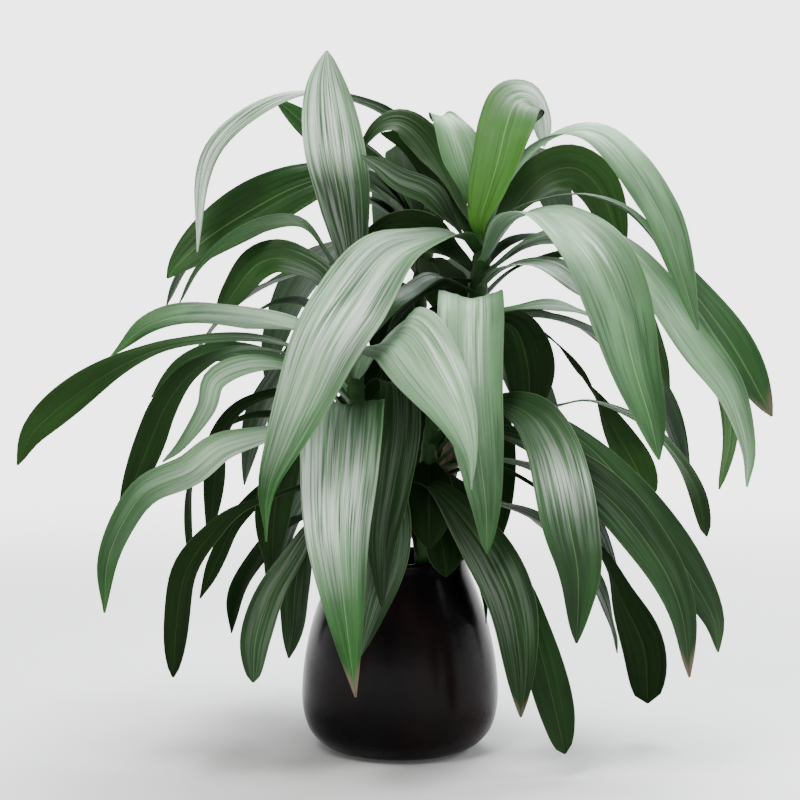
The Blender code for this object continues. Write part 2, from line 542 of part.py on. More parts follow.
def tube_mesh(name, points, radii):
    """A closed tube with flat ends round a path, as a curve made into a mesh."""
    curve = bpy.data.curves.new(name, "CURVE")
    curve.dimensions = "3D"
    curve.bevel_depth = 1.0
    curve.bevel_resolution = (STEM_SIDES - 4) // 2
    curve.use_fill_caps = True
    spline = curve.splines.new("POLY")
    spline.points.add(len(points) - 1)
    for place, point, radius in zip(spline.points, points, radii):
        place.co = (*point, 1.0)
        place.radius = radius
    guide = bpy.data.objects.new(name, curve)
    bpy.context.scene.collection.objects.link(guide)
    mesh = evaluated_mesh(guide)
    bpy.data.objects.remove(guide)
    bpy.data.curves.remove(curve)
    solid = bmesh.new()
    solid.from_mesh(mesh)
    bmesh.ops.remove_doubles(solid, verts=solid.verts[:], dist=MERGE_DISTANCE)
    face_outwards(solid)
    solid.to_mesh(mesh)
    solid.free()
    return mesh


def keep_largest(solid):
    """Removes every closed surface but the largest, so hollows between leaf bases are filled."""
    waiting = set(solid.faces)
    bodies = []
    while waiting:
        rim = [waiting.pop()]
        body = list(rim)
        while rim:
            for edge in rim.pop().edges:
                for face in edge.link_faces:
                    if face in waiting:
                        waiting.remove(face)
                        body.append(face)
                        rim.append(face)
        bodies.append(body)
    bodies.sort(key=len)
    spare = [face for body in bodies[:-1] for face in body]
    bmesh.ops.delete(solid, geom=spare, context="FACES")


def joined(first, second):
    """Whether an edge joins the two corners."""
    return any(edge.other_vert(first) is second for edge in first.link_edges)


def turns_out(a, b, c, normal):
    """Whether the triangle's corners run anticlockwise as seen against the normal."""
    return (b - a).cross(c - a).dot(normal) > 0.0


def ear_fits(corners, place, normal):
    """Whether the corner at this place can be cut off a flat face as a triangle."""
    before, corner, after = corners[place - 1], corners[place], corners[(place + 1) % len(corners)]
    if joined(before, after) or not turns_out(before.co, corner.co, after.co, normal):
        return False
    for other in corners:
        if other in (before, corner, after):
            continue
        sides = ((before, corner), (corner, after), (after, before))
        if all(turns_out(first.co, second.co, other.co, normal) for first, second in sides):
            return False
    return True


def ear_shape(corners, place):
    """How far the triangle at this place is from a sliver."""
    a, b, c = corners[place - 1].co, corners[place].co, corners[(place + 1) % len(corners)].co
    longest = max((b - a).length, (c - b).length, (a - c).length)
    return (b - a).cross(c - a).length / (longest * longest)


def split_faces(solid):
    """Splits every face into triangles, with no new edge where two corners are joined already."""
    for face in [face for face in solid.faces if len(face.verts) > 3]:
        normal = face.normal.copy()
        corners = face.verts[:]
        solid.faces.remove(face)
        while len(corners) > 3:
            places = [place for place in range(len(corners)) if ear_fits(corners, place, normal)]
            if not places:
                break
            best = max(places, key=lambda place: ear_shape(corners, place))
            solid.faces.new((corners[best - 1], corners[best], corners[(best + 1) % len(corners)]))
            corners.pop(best)
        if len(corners) == 3 and solid.faces.get(corners) is None:
            solid.faces.new(corners)
            continue
        middle = solid.verts.new(sum((corner.co for corner in corners), Vector()) / len(corners))
        for place, corner in enumerate(corners):
            solid.faces.new((corners[place - 1], corner, middle))
    solid.normal_update()


def can_merge(edge):
    """Whether the edge's ends can become one corner, with the solid closed and no face turned over."""
    first, second = edge.verts
    nearby = [{other.other_vert(corner) for other in corner.link_edges} for corner in edge.verts]
    if len(nearby[0] & nearby[1]) != 2:
        return False
    middle = first.co.lerp(second.co, 0.5)
    for corner in edge.verts:
        for face in corner.link_faces:
            if first in face.verts and second in face.verts:
                continue
            moved = [middle if vertex is corner else vertex.co for vertex in face.verts]
            if not turns_out(*moved, face.normal):
                return False
    return True


def merge_short_edges(solid):
    """Merges the ends of very short edges."""
    merged = True
    while merged:
        merged = False
        for edge in solid.edges:
            if edge.calc_length() < SHORTEST_EDGE and can_merge(edge):
                first, second = edge.verts
                middle = first.co.lerp(second.co, 0.5)
                bmesh.ops.pointmerge(solid, verts=[first, second], merge_co=middle)
                solid.normal_update()
                merged = True
                break


def thin_edge(face):
    """The long edge of a triangle that is too thin, or None."""
    longest = max(face.edges, key=lambda edge: edge.calc_length())
    if 2.0 * face.calc_area() < THINNEST_FACE * longest.calc_length():
        return longest
    return None


def can_turn(edge):
    """Whether the edge can join the two far corners of its triangles instead of its own ends."""
    loop = edge.link_loops[0]
    start, end = loop.vert, loop.link_loop_next.vert
    left = loop.link_loop_prev.vert
    right = edge.link_loops[1].link_loop_prev.vert
    normal = (end.co - start.co).cross(left.co - start.co) + (start.co - end.co).cross(right.co - end.co)
    fits = turns_out(start.co, right.co, left.co, normal) and turns_out(end.co, left.co, right.co, normal)
    return fits and not joined(left, right)


def turn_thin_faces(solid):
    """Gives the room of a thin triangle to the one beside it by turning the edge between them."""
    for turn in range(MOST_TURNS):
        turned = False
        for face in solid.faces:
            edge = thin_edge(face)
            if edge is not None and can_turn(edge) and bmesh.utils.edge_rotate(edge) is not None:
                solid.normal_update()
                turned = True
                break
        if not turned:
            return


def clean_solid(mesh):
    """Keeps the joined surface and takes out the slivers that the union leaves."""
    solid = bmesh.new()
    solid.from_mesh(mesh)
    bmesh.ops.remove_doubles(solid, verts=solid.verts[:], dist=MERGE_DISTANCE)
    split_faces(solid)
    keep_largest(solid)
    for tidying in range(CLEANING_ROUNDS):
        merge_short_edges(solid)
        turn_thin_faces(solid)
    keep_largest(solid)
    face_outwards(solid)
    solid.to_mesh(mesh)
    solid.free()


def join_all(thing, others, solver):
    """Joins the other objects to the first one with one Boolean union, and removes them."""
    group = bpy.data.collections.new(thing.name + "_pieces")
    bpy.context.scene.collection.children.link(group)
    for other in others:
        group.objects.link(other)
    union = thing.modifiers.new("union", "BOOLEAN")
    union.operation = "UNION"
    union.operand_type = "COLLECTION"
    union.collection = group
    union.solver = solver
    mesh = evaluated_mesh(thing)
    clean_solid(mesh)
    thing.modifiers.clear()
    thing.data = mesh
    for other in others:
        bpy.data.objects.remove(other)
    bpy.data.collections.remove(group)


def stem_mesh(head):
    """The green stem of a leafy head, from its cane or from its hole in the soil to its tip."""
    points = [Vector(point) * CM for point in head.stem]
    radius = head.radius * CM
    if head.cane is None:
        base = Vector((head.foot[0] * CM, head.foot[1] * CM, SOIL_TOP - HOLE_DEPTH + GAP))
        surface = Vector((base.x, base.y, SOIL_TOP + STRAIGHT_FOOT))
        points = [base, surface] + points
    else:
        points = [points[0], points[0] + Vector((0.0, 0.0, STRAIGHT_FOOT))] + points[1:]
    tip = points[-1] + (points[-1] - points[-2]).normalized() * STEM_TIP
    path = points + [tip]
    radii = [radius] * (len(path) - 2) + [radius * share for share in STEM_TIP_RADII]
    return tube_mesh(head.name, path, radii)


def make_head(head, collection, material):
    """A leafy head: the green stem with its leaf bases sunk into it, joined as one solid."""
    stem = make_object(head.name, stem_mesh(head), collection, material)
    blades = []
    for leaf in head.leaves:
        route = [stem_point(head, leaf.root)] + [seen_point(*point) for point in leaf.path]
        mesh = blade_mesh(leaf.name, route, leaf.width * CM, leaf.widest, leaf.turn, leaf.taper)
        blades.append(bpy.data.objects.new(leaf.name, mesh))
    for number, arch in enumerate(head.arches):
        name = f"{head.name}_arch_{number}"
        mesh = blade_mesh(name, arch_path(head, arch), arch.width * CM, ARCH_WIDEST, (0.0, 0.0), BASE_SWELL)
        blades.append(bpy.data.objects.new(name, mesh))
    join_all(stem, blades, "MANIFOLD")
    return stem


def make_cane(head, collection, material):
    """A woody cane from its hole in the soil to the underside of its leafy head."""
    top = Vector(head.stem[0]) * CM
    radius = head.radius * CM + CANE_EXTRA_RADIUS
    foot = Vector((head.foot[0] * CM, head.foot[1] * CM, SOIL_TOP - HOLE_DEPTH + GAP))
    surface = Vector((foot.x, foot.y, SOIL_TOP + STRAIGHT_FOOT))
    end = top - Vector((0.0, 0.0, GAP))
    collar = end - Vector((0.0, 0.0, CANE_COLLAR))
    middle = surface.lerp(collar, 0.5) + Vector((0.0, 0.0, CANE_BEND))
    climb = smooth_path([surface, middle, collar], 4)
    path = [foot] + climb + [end]
    radii = [radius] * len(path)
    return make_object(head.cane, tube_mesh(head.cane, path, radii), collection, material)


def make_pot(collection, material):
    """The pot: a turned shell with a flat foot, a thick floor and a rounded rim."""
    outside = [(r * CM, z * CM) for r, z in POT_OUTLINE]
    rim_radius, rim_height = outside[-1]
    inside = []
    for radius, height in outside:
        if height > POT_FLOOR + POT_FLOOR_ROUNDING:
            inside.append((radius - POT_WALL, height))
    floor_corner = (inside[0][0] - POT_FLOOR_ROUNDING, POT_FLOOR)
    middle = rim_radius - POT_WALL / 2.0
    rim = []
    for step in range(POT_RIM_STEPS):
        angle = math.pi * (1.0 - (step + 0.5) / POT_RIM_STEPS)
        rim.append((middle + math.cos(angle) * POT_WALL / 2.0, rim_height + math.sin(angle) * POT_RIM_RISE))
    profile = [(0.0, POT_FLOOR), floor_corner] + inside + rim + outside[::-1] + [(0.0, 0.0)]
    return turned_mesh("pot", profile, POT_SIDES, collection, material)


def inner_radius(height):
    """The radius of the pot's inside at a height."""
    for (low_radius, low), (high_radius, high) in zip(POT_OUTLINE, POT_OUTLINE[1:]):
        if low * CM <= height <= high * CM:
            share = (height / CM - low) / (high - low)
            return (low_radius + (high_radius - low_radius) * share) * CM - POT_WALL


def make_soil(collection, material):
    """The soil: it fills the pot and has a plain hole for each stem."""
    lowest = POT_FLOOR + SOIL_FOOT_ROUNDING
    highest = SOIL_TOP - SOIL_EDGE_DROP
    heights = [z * CM for r, z in POT_OUTLINE if lowest < z * CM < highest] + [highest]
    side = [(inner_radius(height) - GAP, height) for height in heights]
    bottom = (side[0][0] - SOIL_FOOT_ROUNDING, POT_FLOOR + GAP)
    crown = [(0.0, SOIL_TOP), (inner_radius(SOIL_TOP) - SOIL_EDGE_INSET, SOIL_TOP)]
    profile = crown + side[::-1] + [bottom, (0.0, POT_FLOOR + GAP)]
    soil = turned_mesh("soil", profile, POT_SIDES, collection, material)
    cutters = bpy.data.collections.new("stem_holes")
    bpy.context.scene.collection.children.link(cutters)
    cutters.hide_render = True
    for head in HEADS:
        radius = head.radius * CM + 2.0 * GAP
        if head.cane is not None:
            radius += CANE_EXTRA_RADIUS
        hole = bmesh.new()
        bmesh.ops.create_cone(
            hole, cap_ends=True, segments=HOLE_SIDES, radius1=radius, radius2=radius, depth=2.0 * HOLE_DEPTH)
        mesh = bpy.data.meshes.new("hole")
        hole.to_mesh(mesh)
        hole.free()
        cutter = bpy.data.objects.new("hole_" + head.name, mesh)
        cutter.location = (head.foot[0] * CM, head.foot[1] * CM, SOIL_TOP)
        cutter.hide_render = True
        cutter.display_type = "WIRE"
        cutters.objects.link(cutter)
        cut = soil.modifiers.new("stem hole", "BOOLEAN")
        cut.operation = "DIFFERENCE"
        cut.object = cutter
    return soil


def main():
    for thing in list(bpy.data.objects):
        bpy.data.objects.remove(thing)
    plant = bpy.data.collections.new("potted_dracaena")
    bpy.context.scene.collection.children.link(plant)
    leaf_green = make_material(*LEAF_GREEN)
    bark_brown = make_material(*BARK_BROWN)
    soil_brown = make_material(*SOIL_BROWN)
    pot_black = make_material(*POT_BLACK)
    make_pot(plant, pot_black)
    make_soil(plant, soil_brown)
    for head in HEADS:
        make_head(head, plant, leaf_green)
        if head.cane is not None:
            make_cane(head, plant, bark_brown)


main()
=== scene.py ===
"""The looks of a potted dracaena: pleated blades, bark, soil, glaze, soft light and a camera."""

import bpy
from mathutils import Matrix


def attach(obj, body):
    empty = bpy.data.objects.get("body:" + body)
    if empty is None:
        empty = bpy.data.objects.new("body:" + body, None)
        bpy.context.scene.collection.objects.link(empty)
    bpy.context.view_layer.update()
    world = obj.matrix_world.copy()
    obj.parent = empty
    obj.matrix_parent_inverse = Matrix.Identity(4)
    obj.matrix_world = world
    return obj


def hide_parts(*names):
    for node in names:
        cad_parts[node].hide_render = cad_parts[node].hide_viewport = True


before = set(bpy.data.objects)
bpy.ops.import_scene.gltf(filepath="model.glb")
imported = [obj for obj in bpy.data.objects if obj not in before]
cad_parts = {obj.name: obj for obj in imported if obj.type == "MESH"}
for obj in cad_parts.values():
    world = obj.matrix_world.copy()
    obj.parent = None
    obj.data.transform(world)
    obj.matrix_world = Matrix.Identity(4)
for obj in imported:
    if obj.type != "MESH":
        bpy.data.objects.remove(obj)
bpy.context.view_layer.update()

import math
import random
from collections import namedtuple

import bmesh
import bpy
import numpy as np
from mathutils import Vector, noise

CM = 0.01

# The pot: outer radii by height in centimetres, from the foot to the rim
POT_OUTLINE = [
    (6.2, 0.0), (8.0, 0.4), (9.5, 1.3), (10.7, 2.9), (11.3, 5.4), (11.3, 8.2), (10.9, 11.5), (10.1, 15.0),
    (9.0, 18.2), (8.0, 20.8), (7.7, 22.1),
]
POT_RIM_RISE = 0.4 * CM
POT_WALL = 0.8 * CM
POT_FLOOR = 1.3 * CM
POT_FLOOR_ROUNDING = 0.5 * CM

# The height of the soil's surface
SOIL_TOP = 20.4 * CM

# Stems start upright, above the soil or on their cane, and end in a narrowing tip. A woody cane is a
# little thicker, has an upright collar at its top and bends at its middle.
STRAIGHT_FOOT = 0.6 * CM
STEM_TIP = 4.0 * CM
CANE_EXTRA_RADIUS = 0.12 * CM
CANE_COLLAR = 1.2 * CM
CANE_BEND = 1.0 * CM

# The blades: a sheath narrows from BASE_WIDTH to nothing over the first SHEATH_SHARE of the length.
# The margins stand up by a share of half the width. BASE_SWELL shapes the inner half as taper shapes
# the outer one. A leaf grown by the rule is widest at ARCH_WIDEST, and a small ARCH_BEND bends it early.
BASE_WIDTH = 1.6 * CM
TIP_WIDTH = 0.22 * CM
SHEATH_SHARE = 0.35
CHANNEL_AT_BASE = 0.55
CHANNEL_AT_TIP = 0.14
BASE_SWELL = 0.75
ARCH_WIDEST = 0.55
ARCH_BEND = 0.8
CURVE_STEPS = 12

# A viewer in front sees the plant from here, in centimetres. Leaves given one by one are set out as
# that viewer sees them.
VIEW_DISTANCE = 250.0
VIEW_ELEVATION = math.radians(4.0)
VIEW_AIM = 40.5
VIEW_UP = Vector((0.0, math.sin(VIEW_ELEVATION), math.cos(VIEW_ELEVATION)))
VIEW_BACK = Vector((0.0, -math.cos(VIEW_ELEVATION), math.sin(VIEW_ELEVATION)))

# A leaf given with its own path. name is a label, root its height on the stem, width its greatest width and
# widest how far along that comes. turn says how far the blade is turned to the front, half way along
# and at the tip, or as one number for both. path lists (across, up, depth) in centimetres: where the
# viewer sees the midrib, measured on the upright plane through the pot's axis, and how far behind
# that plane it lies. taper shapes the outer half: small is blunt, large is drawn out to a point.
#
# The rest are tones from 0 to 1: one number, or several spread evenly from TONE_START to TONE_END of
# the length. pale is a sage colour, partly the leaf's own waxy bloom and partly a painted sheen of
# light; dark is painted shade, strongest on inner and lower leaves; fresh is the yellow-green of young
# ones; lilac is a painted grey sheen on leaves in shade; and brown is how dry the tip is.
# The margin on the green_side, -1 or 1 or else left to chance, loses GREEN_MARGIN of pale and lilac
# across the GREEN_REACH. A tip dries along the DRY_REACH, and sooner by DRY_CORNER at its margins.
TONE_START = 0.1
TONE_END = 0.9
GREEN_MARGIN = 0.65
GREEN_REACH = (0.1, 0.95)
USUAL_BROWN = 0.12
DRY_REACH = (0.88, 1.02)
DRY_CORNER = 0.05
LEAF_PARTS = "name root width widest turn path taper pale dark fresh lilac brown green_side"
Leaf = namedtuple("Leaf", LEAF_PARTS, defaults=(0.75, 0, 0, 0, 0, USUAL_BROWN, None))

# A leaf that grows out in one upright plane by the rule, listed as a row of these numbers with angles
# in degrees. azimuth is counted from +X towards +Y, rise is the slope at the stem and fall at the tip.
# Leaves shorter than SHORT_ARCH centimetres fill the dark middle of the plant.
# Arches get a little painted sheen and much painted shade; the short ones are painted almost black with
# shade
ARCH_TONE = dict(pale=(0.05, 0.2, 0.15), dark=(0.7, 0.45, 0.4), brown=0.3)
SHORT_ARCH_TONE = dict(dark=(0.97, 0.97, 0.95))
SHORT_ARCH = 31
Arch = namedtuple("Arch", "azimuth root rise fall length width")

# foot is where the stem stands in the soil, and stem runs along its leafy part, in centimetres
Head = namedtuple("Head", "name foot cane stem radius leaves arches")

TALL_LEAVES = [
    Leaf("bright upright", 58.5, 6.6, 0.52, (0.7, 0.55), [
        (9.2, 61, -4), (10.2, 64.5, -5.5), (11.3, 68.2, -6), (12.2, 72, -5), (13.3, 74.7, -2.4),
        (15, 75, 0.4), (16.2, 72.9, 2.4), (16.6, 69.6, 3)], 0.5,
        pale=(0.1, 0.1, 0.1, 0.1, 0.1, 0, 0.1, 0.9, 1),
        fresh=(0.85, 0.75, 0.65, 0.55, 0.5, 0.45, 0.4, 0.1, 0), dark=(0, 0, 0, 0, 0.1, 0.25, 0.25, 0, 0),
        lilac=(0, 0, 0, 0, 0, 0, 0.1, 0.9, 1)),
    Leaf("pale upright", 59.5, 5.4, 0.55, (0.6, 0.3), [
        (8.4, 64, -3), (7.2, 68.5, -3.5), (6, 71.8, -3), (4.9, 73.2, -1), (4.2, 72.4, 1.5)],
        pale=(0.3, 0.65, 0.85), fresh=(0.35, 0.15, 0.05), dark=(0.1, 0.05, 0)),
    Leaf("big right arch", 57.8, 5.2, 0.6, (0.4, 0.45), [
        (12, 64.6, -4), (15.5, 69.2, -6), (19.3, 71.3, -8), (23, 70.9, -10), (26.2, 67.9, -12),
        (29, 63.6, -13), (31, 59.3, -14), (34.3, 48.5, -15)], pale=(0.5, 0.9, 1, 0.45, 0.15),
        dark=(0.2, 0, 0, 0.05, 0.2)),
    Leaf("wide right", 55.6, 7.8, 0.55, (0.5, 0.6), [
        (12, 60.3, -7), (15, 62, -12), (18, 61.4, -16), (22.3, 57.4, -21), (25, 51.6, -24), (27, 44, -26),
        (28.8, 38.2, -26.5), (29.8, 33.6, -27)], pale=(0.6, 0.9, 0.8, 0.4, 0.1)),
    Leaf("far right", 56.6, 5.6, 0.75, (0.25, 0.9), [
        (12, 61.5, -1), (16, 63.5, 1), (20.7, 64.2, 2), (25.5, 62.6, 2), (29, 59.3, 1), (32, 55.2, 0),
        (38, 47.2, -1), (42.8, 38.6, -1)], pale=(0.2, 0.15, 0), dark=(0.35, 0.4, 0.45), brown=0.8),
    Leaf("dark behind", 58.2, 5.8, 0.6, (0.8, 0.9), [
        (13, 62.5, 5), (16.5, 66.2, 8), (19.8, 67.2, 10), (22.5, 65.4, 11), (24.3, 61.6, 12),
        (25.7, 56.8, 12)], dark=(0.8, 0.75, 0.7), fresh=(0.3, 0.4, 0.4)),
    Leaf("sage right", 53.8, 4.6, 0.6, 0.6, [
        (14, 58.4, -5), (20, 60, -7), (25, 58.2, -9), (28.5, 54.7, -11), (34, 47, -12.5), (38, 41.5, -13),
        (40, 35, -13), (39.9, 30.5, -13)], pale=(0.3, 0.7, 0.6), dark=(0.1, 0, 0.05)),
    Leaf("dark right hanging", 51.5, 3.6, 0.7, 0.6, [
        (14, 56, 5), (22, 57, 8), (30, 53, 8), (35, 47.5, 7), (37.3, 42, 6), (38, 36.5, 6),
        (36.7, 30.2, 6)], 0.6, dark=(0.6, 0.6, 0.45), fresh=(0, 0.3, 0.5)),
    Leaf("long left", 57.2, 8, 0.5, (0.65, 0.5), [
        (6.9, 59.2, -6), (3.4, 58.9, -10), (-1.2, 57, -15), (-5.4, 51.6, -21), (-8.6, 46.6, -25),
        (-10.9, 41.2, -27), (-13.2, 35.6, -28), (-15.2, 30, -28.5), (-15.4, 24.2, -29)], 1.15,
        pale=(0.1, 0.4, 0.85, 0.55, 0), lilac=(0, 0.25, 0.8, 0.35, 0)),
    Leaf("front curtain", 45.6, 7.2, 0.4, 0.3, [
        (8.1, 50.8, -8.5), (8.1, 52.2, -12), (8.1, 50.4, -15), (8.1, 46, -17.2), (8.4, 40.6, -18.5),
        (9.2, 34, -19.5), (9.9, 28, -19.5), (10, 22.8, -19.5)], 0.65, pale=(0.6, 1, 0.85, 0.65, 0.1),
        dark=(0, 0, 0, 0.1, 0.4)),
    Leaf("left crest", 58.8, 4.6, 0.6, 0.5, [
        (7.2, 62, -0.5), (5, 66.5, 0.5), (2.5, 70.5, 1.5), (0, 72.4, 1.5), (-2.5, 71.8, 1),
        (-4.6, 69.3, 0.5)], dark=(0.75, 0.72, 0.7), fresh=(0.1, 0.2, 0.2)),
    Leaf("left dark rise", 60.4, 4, 0.6, 0.5, [
        (8.4, 64, 3.5), (6.6, 67.5, 7), (4.6, 70.5, 9.5), (2.8, 72.6, 11.5)], dark=0.6),
    Leaf("left twist", 56.3, 3, 0.6, 0.8, [
        (6, 60.9, -3.5), (3.5, 64.2, -5), (0, 65.8, -6), (-2.5, 67.5, -6), (-4.5, 68.6, -6)],
        pale=(0.1, 0.1, 0.15), lilac=(0.1, 0.3, 0.35), dark=(0.85, 0.78, 0.7), brown=0.4),
    Leaf("left inner broad", 54.6, 5.6, 0.5, 0.8, [
        (5.4, 57.4, 0.5), (2.6, 59.4, 1), (-0.6, 59.4, 1), (-3.8, 57, 1), (-6, 53.6, 1)],
        dark=(0.9, 0.85, 0.85), fresh=(0, 0.1, 0.2)),
    Leaf("left inner rise", 57.4, 4.2, 0.55, 0.75, [
        (6.6, 61.4, 2), (5.2, 64.6, 4.5), (3.4, 67.8, 6), (0.8, 70.2, 6.5), (-2.2, 71.2, 6.5)],
        dark=(0.92, 0.9, 0.85)),
    Leaf("left narrow", 52.4, 2.8, 0.6, 0.4, [
        (4.5, 54.6, -6), (1.2, 53, -9), (-1, 51.4, -11), (-2.9, 48.2, -12)], pale=0.2, dark=0.35),
    Leaf("grey right", 53, 3.8, 0.55, 0.35, [
        (12, 55.6, -5.5), (15.5, 56.3, -8.5), (18.5, 55.3, -11), (22, 51.8, -13)], lilac=(0.5, 0.7, 0.7),
        pale=(0.3, 0.4, 0.4)),
    Leaf("level right", 49.4, 3.6, 0.5, 0.25, [
        (11.7, 50.6, -4.5), (16.7, 51.3, -7), (20, 50.8, -8.5), (23.2, 49.7, -9.5)], pale=(0.3, 0.3, 0.2),
        lilac=(0.2, 0.3, 0.3), brown=0.5),
    Leaf("dark curtain", 46.4, 6.4, 0.55, 0.7, [
        (11, 49.3, -2.5), (13.3, 48.6, -3.5), (14.6, 45, -4), (14.9, 41, -4), (14.7, 37.2, -4)], dark=0.95),
    Leaf("dark strap", 47.6, 5.2, 0.8, (0.2, 0.9), [
        (12, 49.5, 1.5), (17.6, 47.4, 4.5), (21.9, 41.8, 6), (24.5, 37.3, 6), (27, 33, 5),
        (28.8, 29, 5)], 0.5, dark=(0.95, 0.9, 0.6), fresh=(0, 0.1, 0.5)),
    Leaf("dark right inner", 54.6, 3.8, 0.6, (0.5, 0.7), [
        (16, 58.6, 0.5), (22.5, 57, 3), (27, 52, 4), (29.6, 46, 4), (31, 41.5, 4)], dark=(0.7, 0.65, 0.6),
        fresh=(0.1, 0.2, 0.2)),
]

TALL_ARCHES = [
    (72, 59.8, 66, -60, 48, 6.2), (50, 55, 44, -72, 46, 6.2), (30, 48.6, 26, -80, 42, 6),
    (66, 45.6, 20, -82, 38, 5.8), (172, 48.4, 10, -87, 19, 5.8), (206, 46.8, -4, -88, 14, 5.4),
    (75, 46, -35, -89, 28, 6.4), (178, 54, 14, -86, 17, 5.8), (192, 52, 4, -88, 15, 5.6),
]

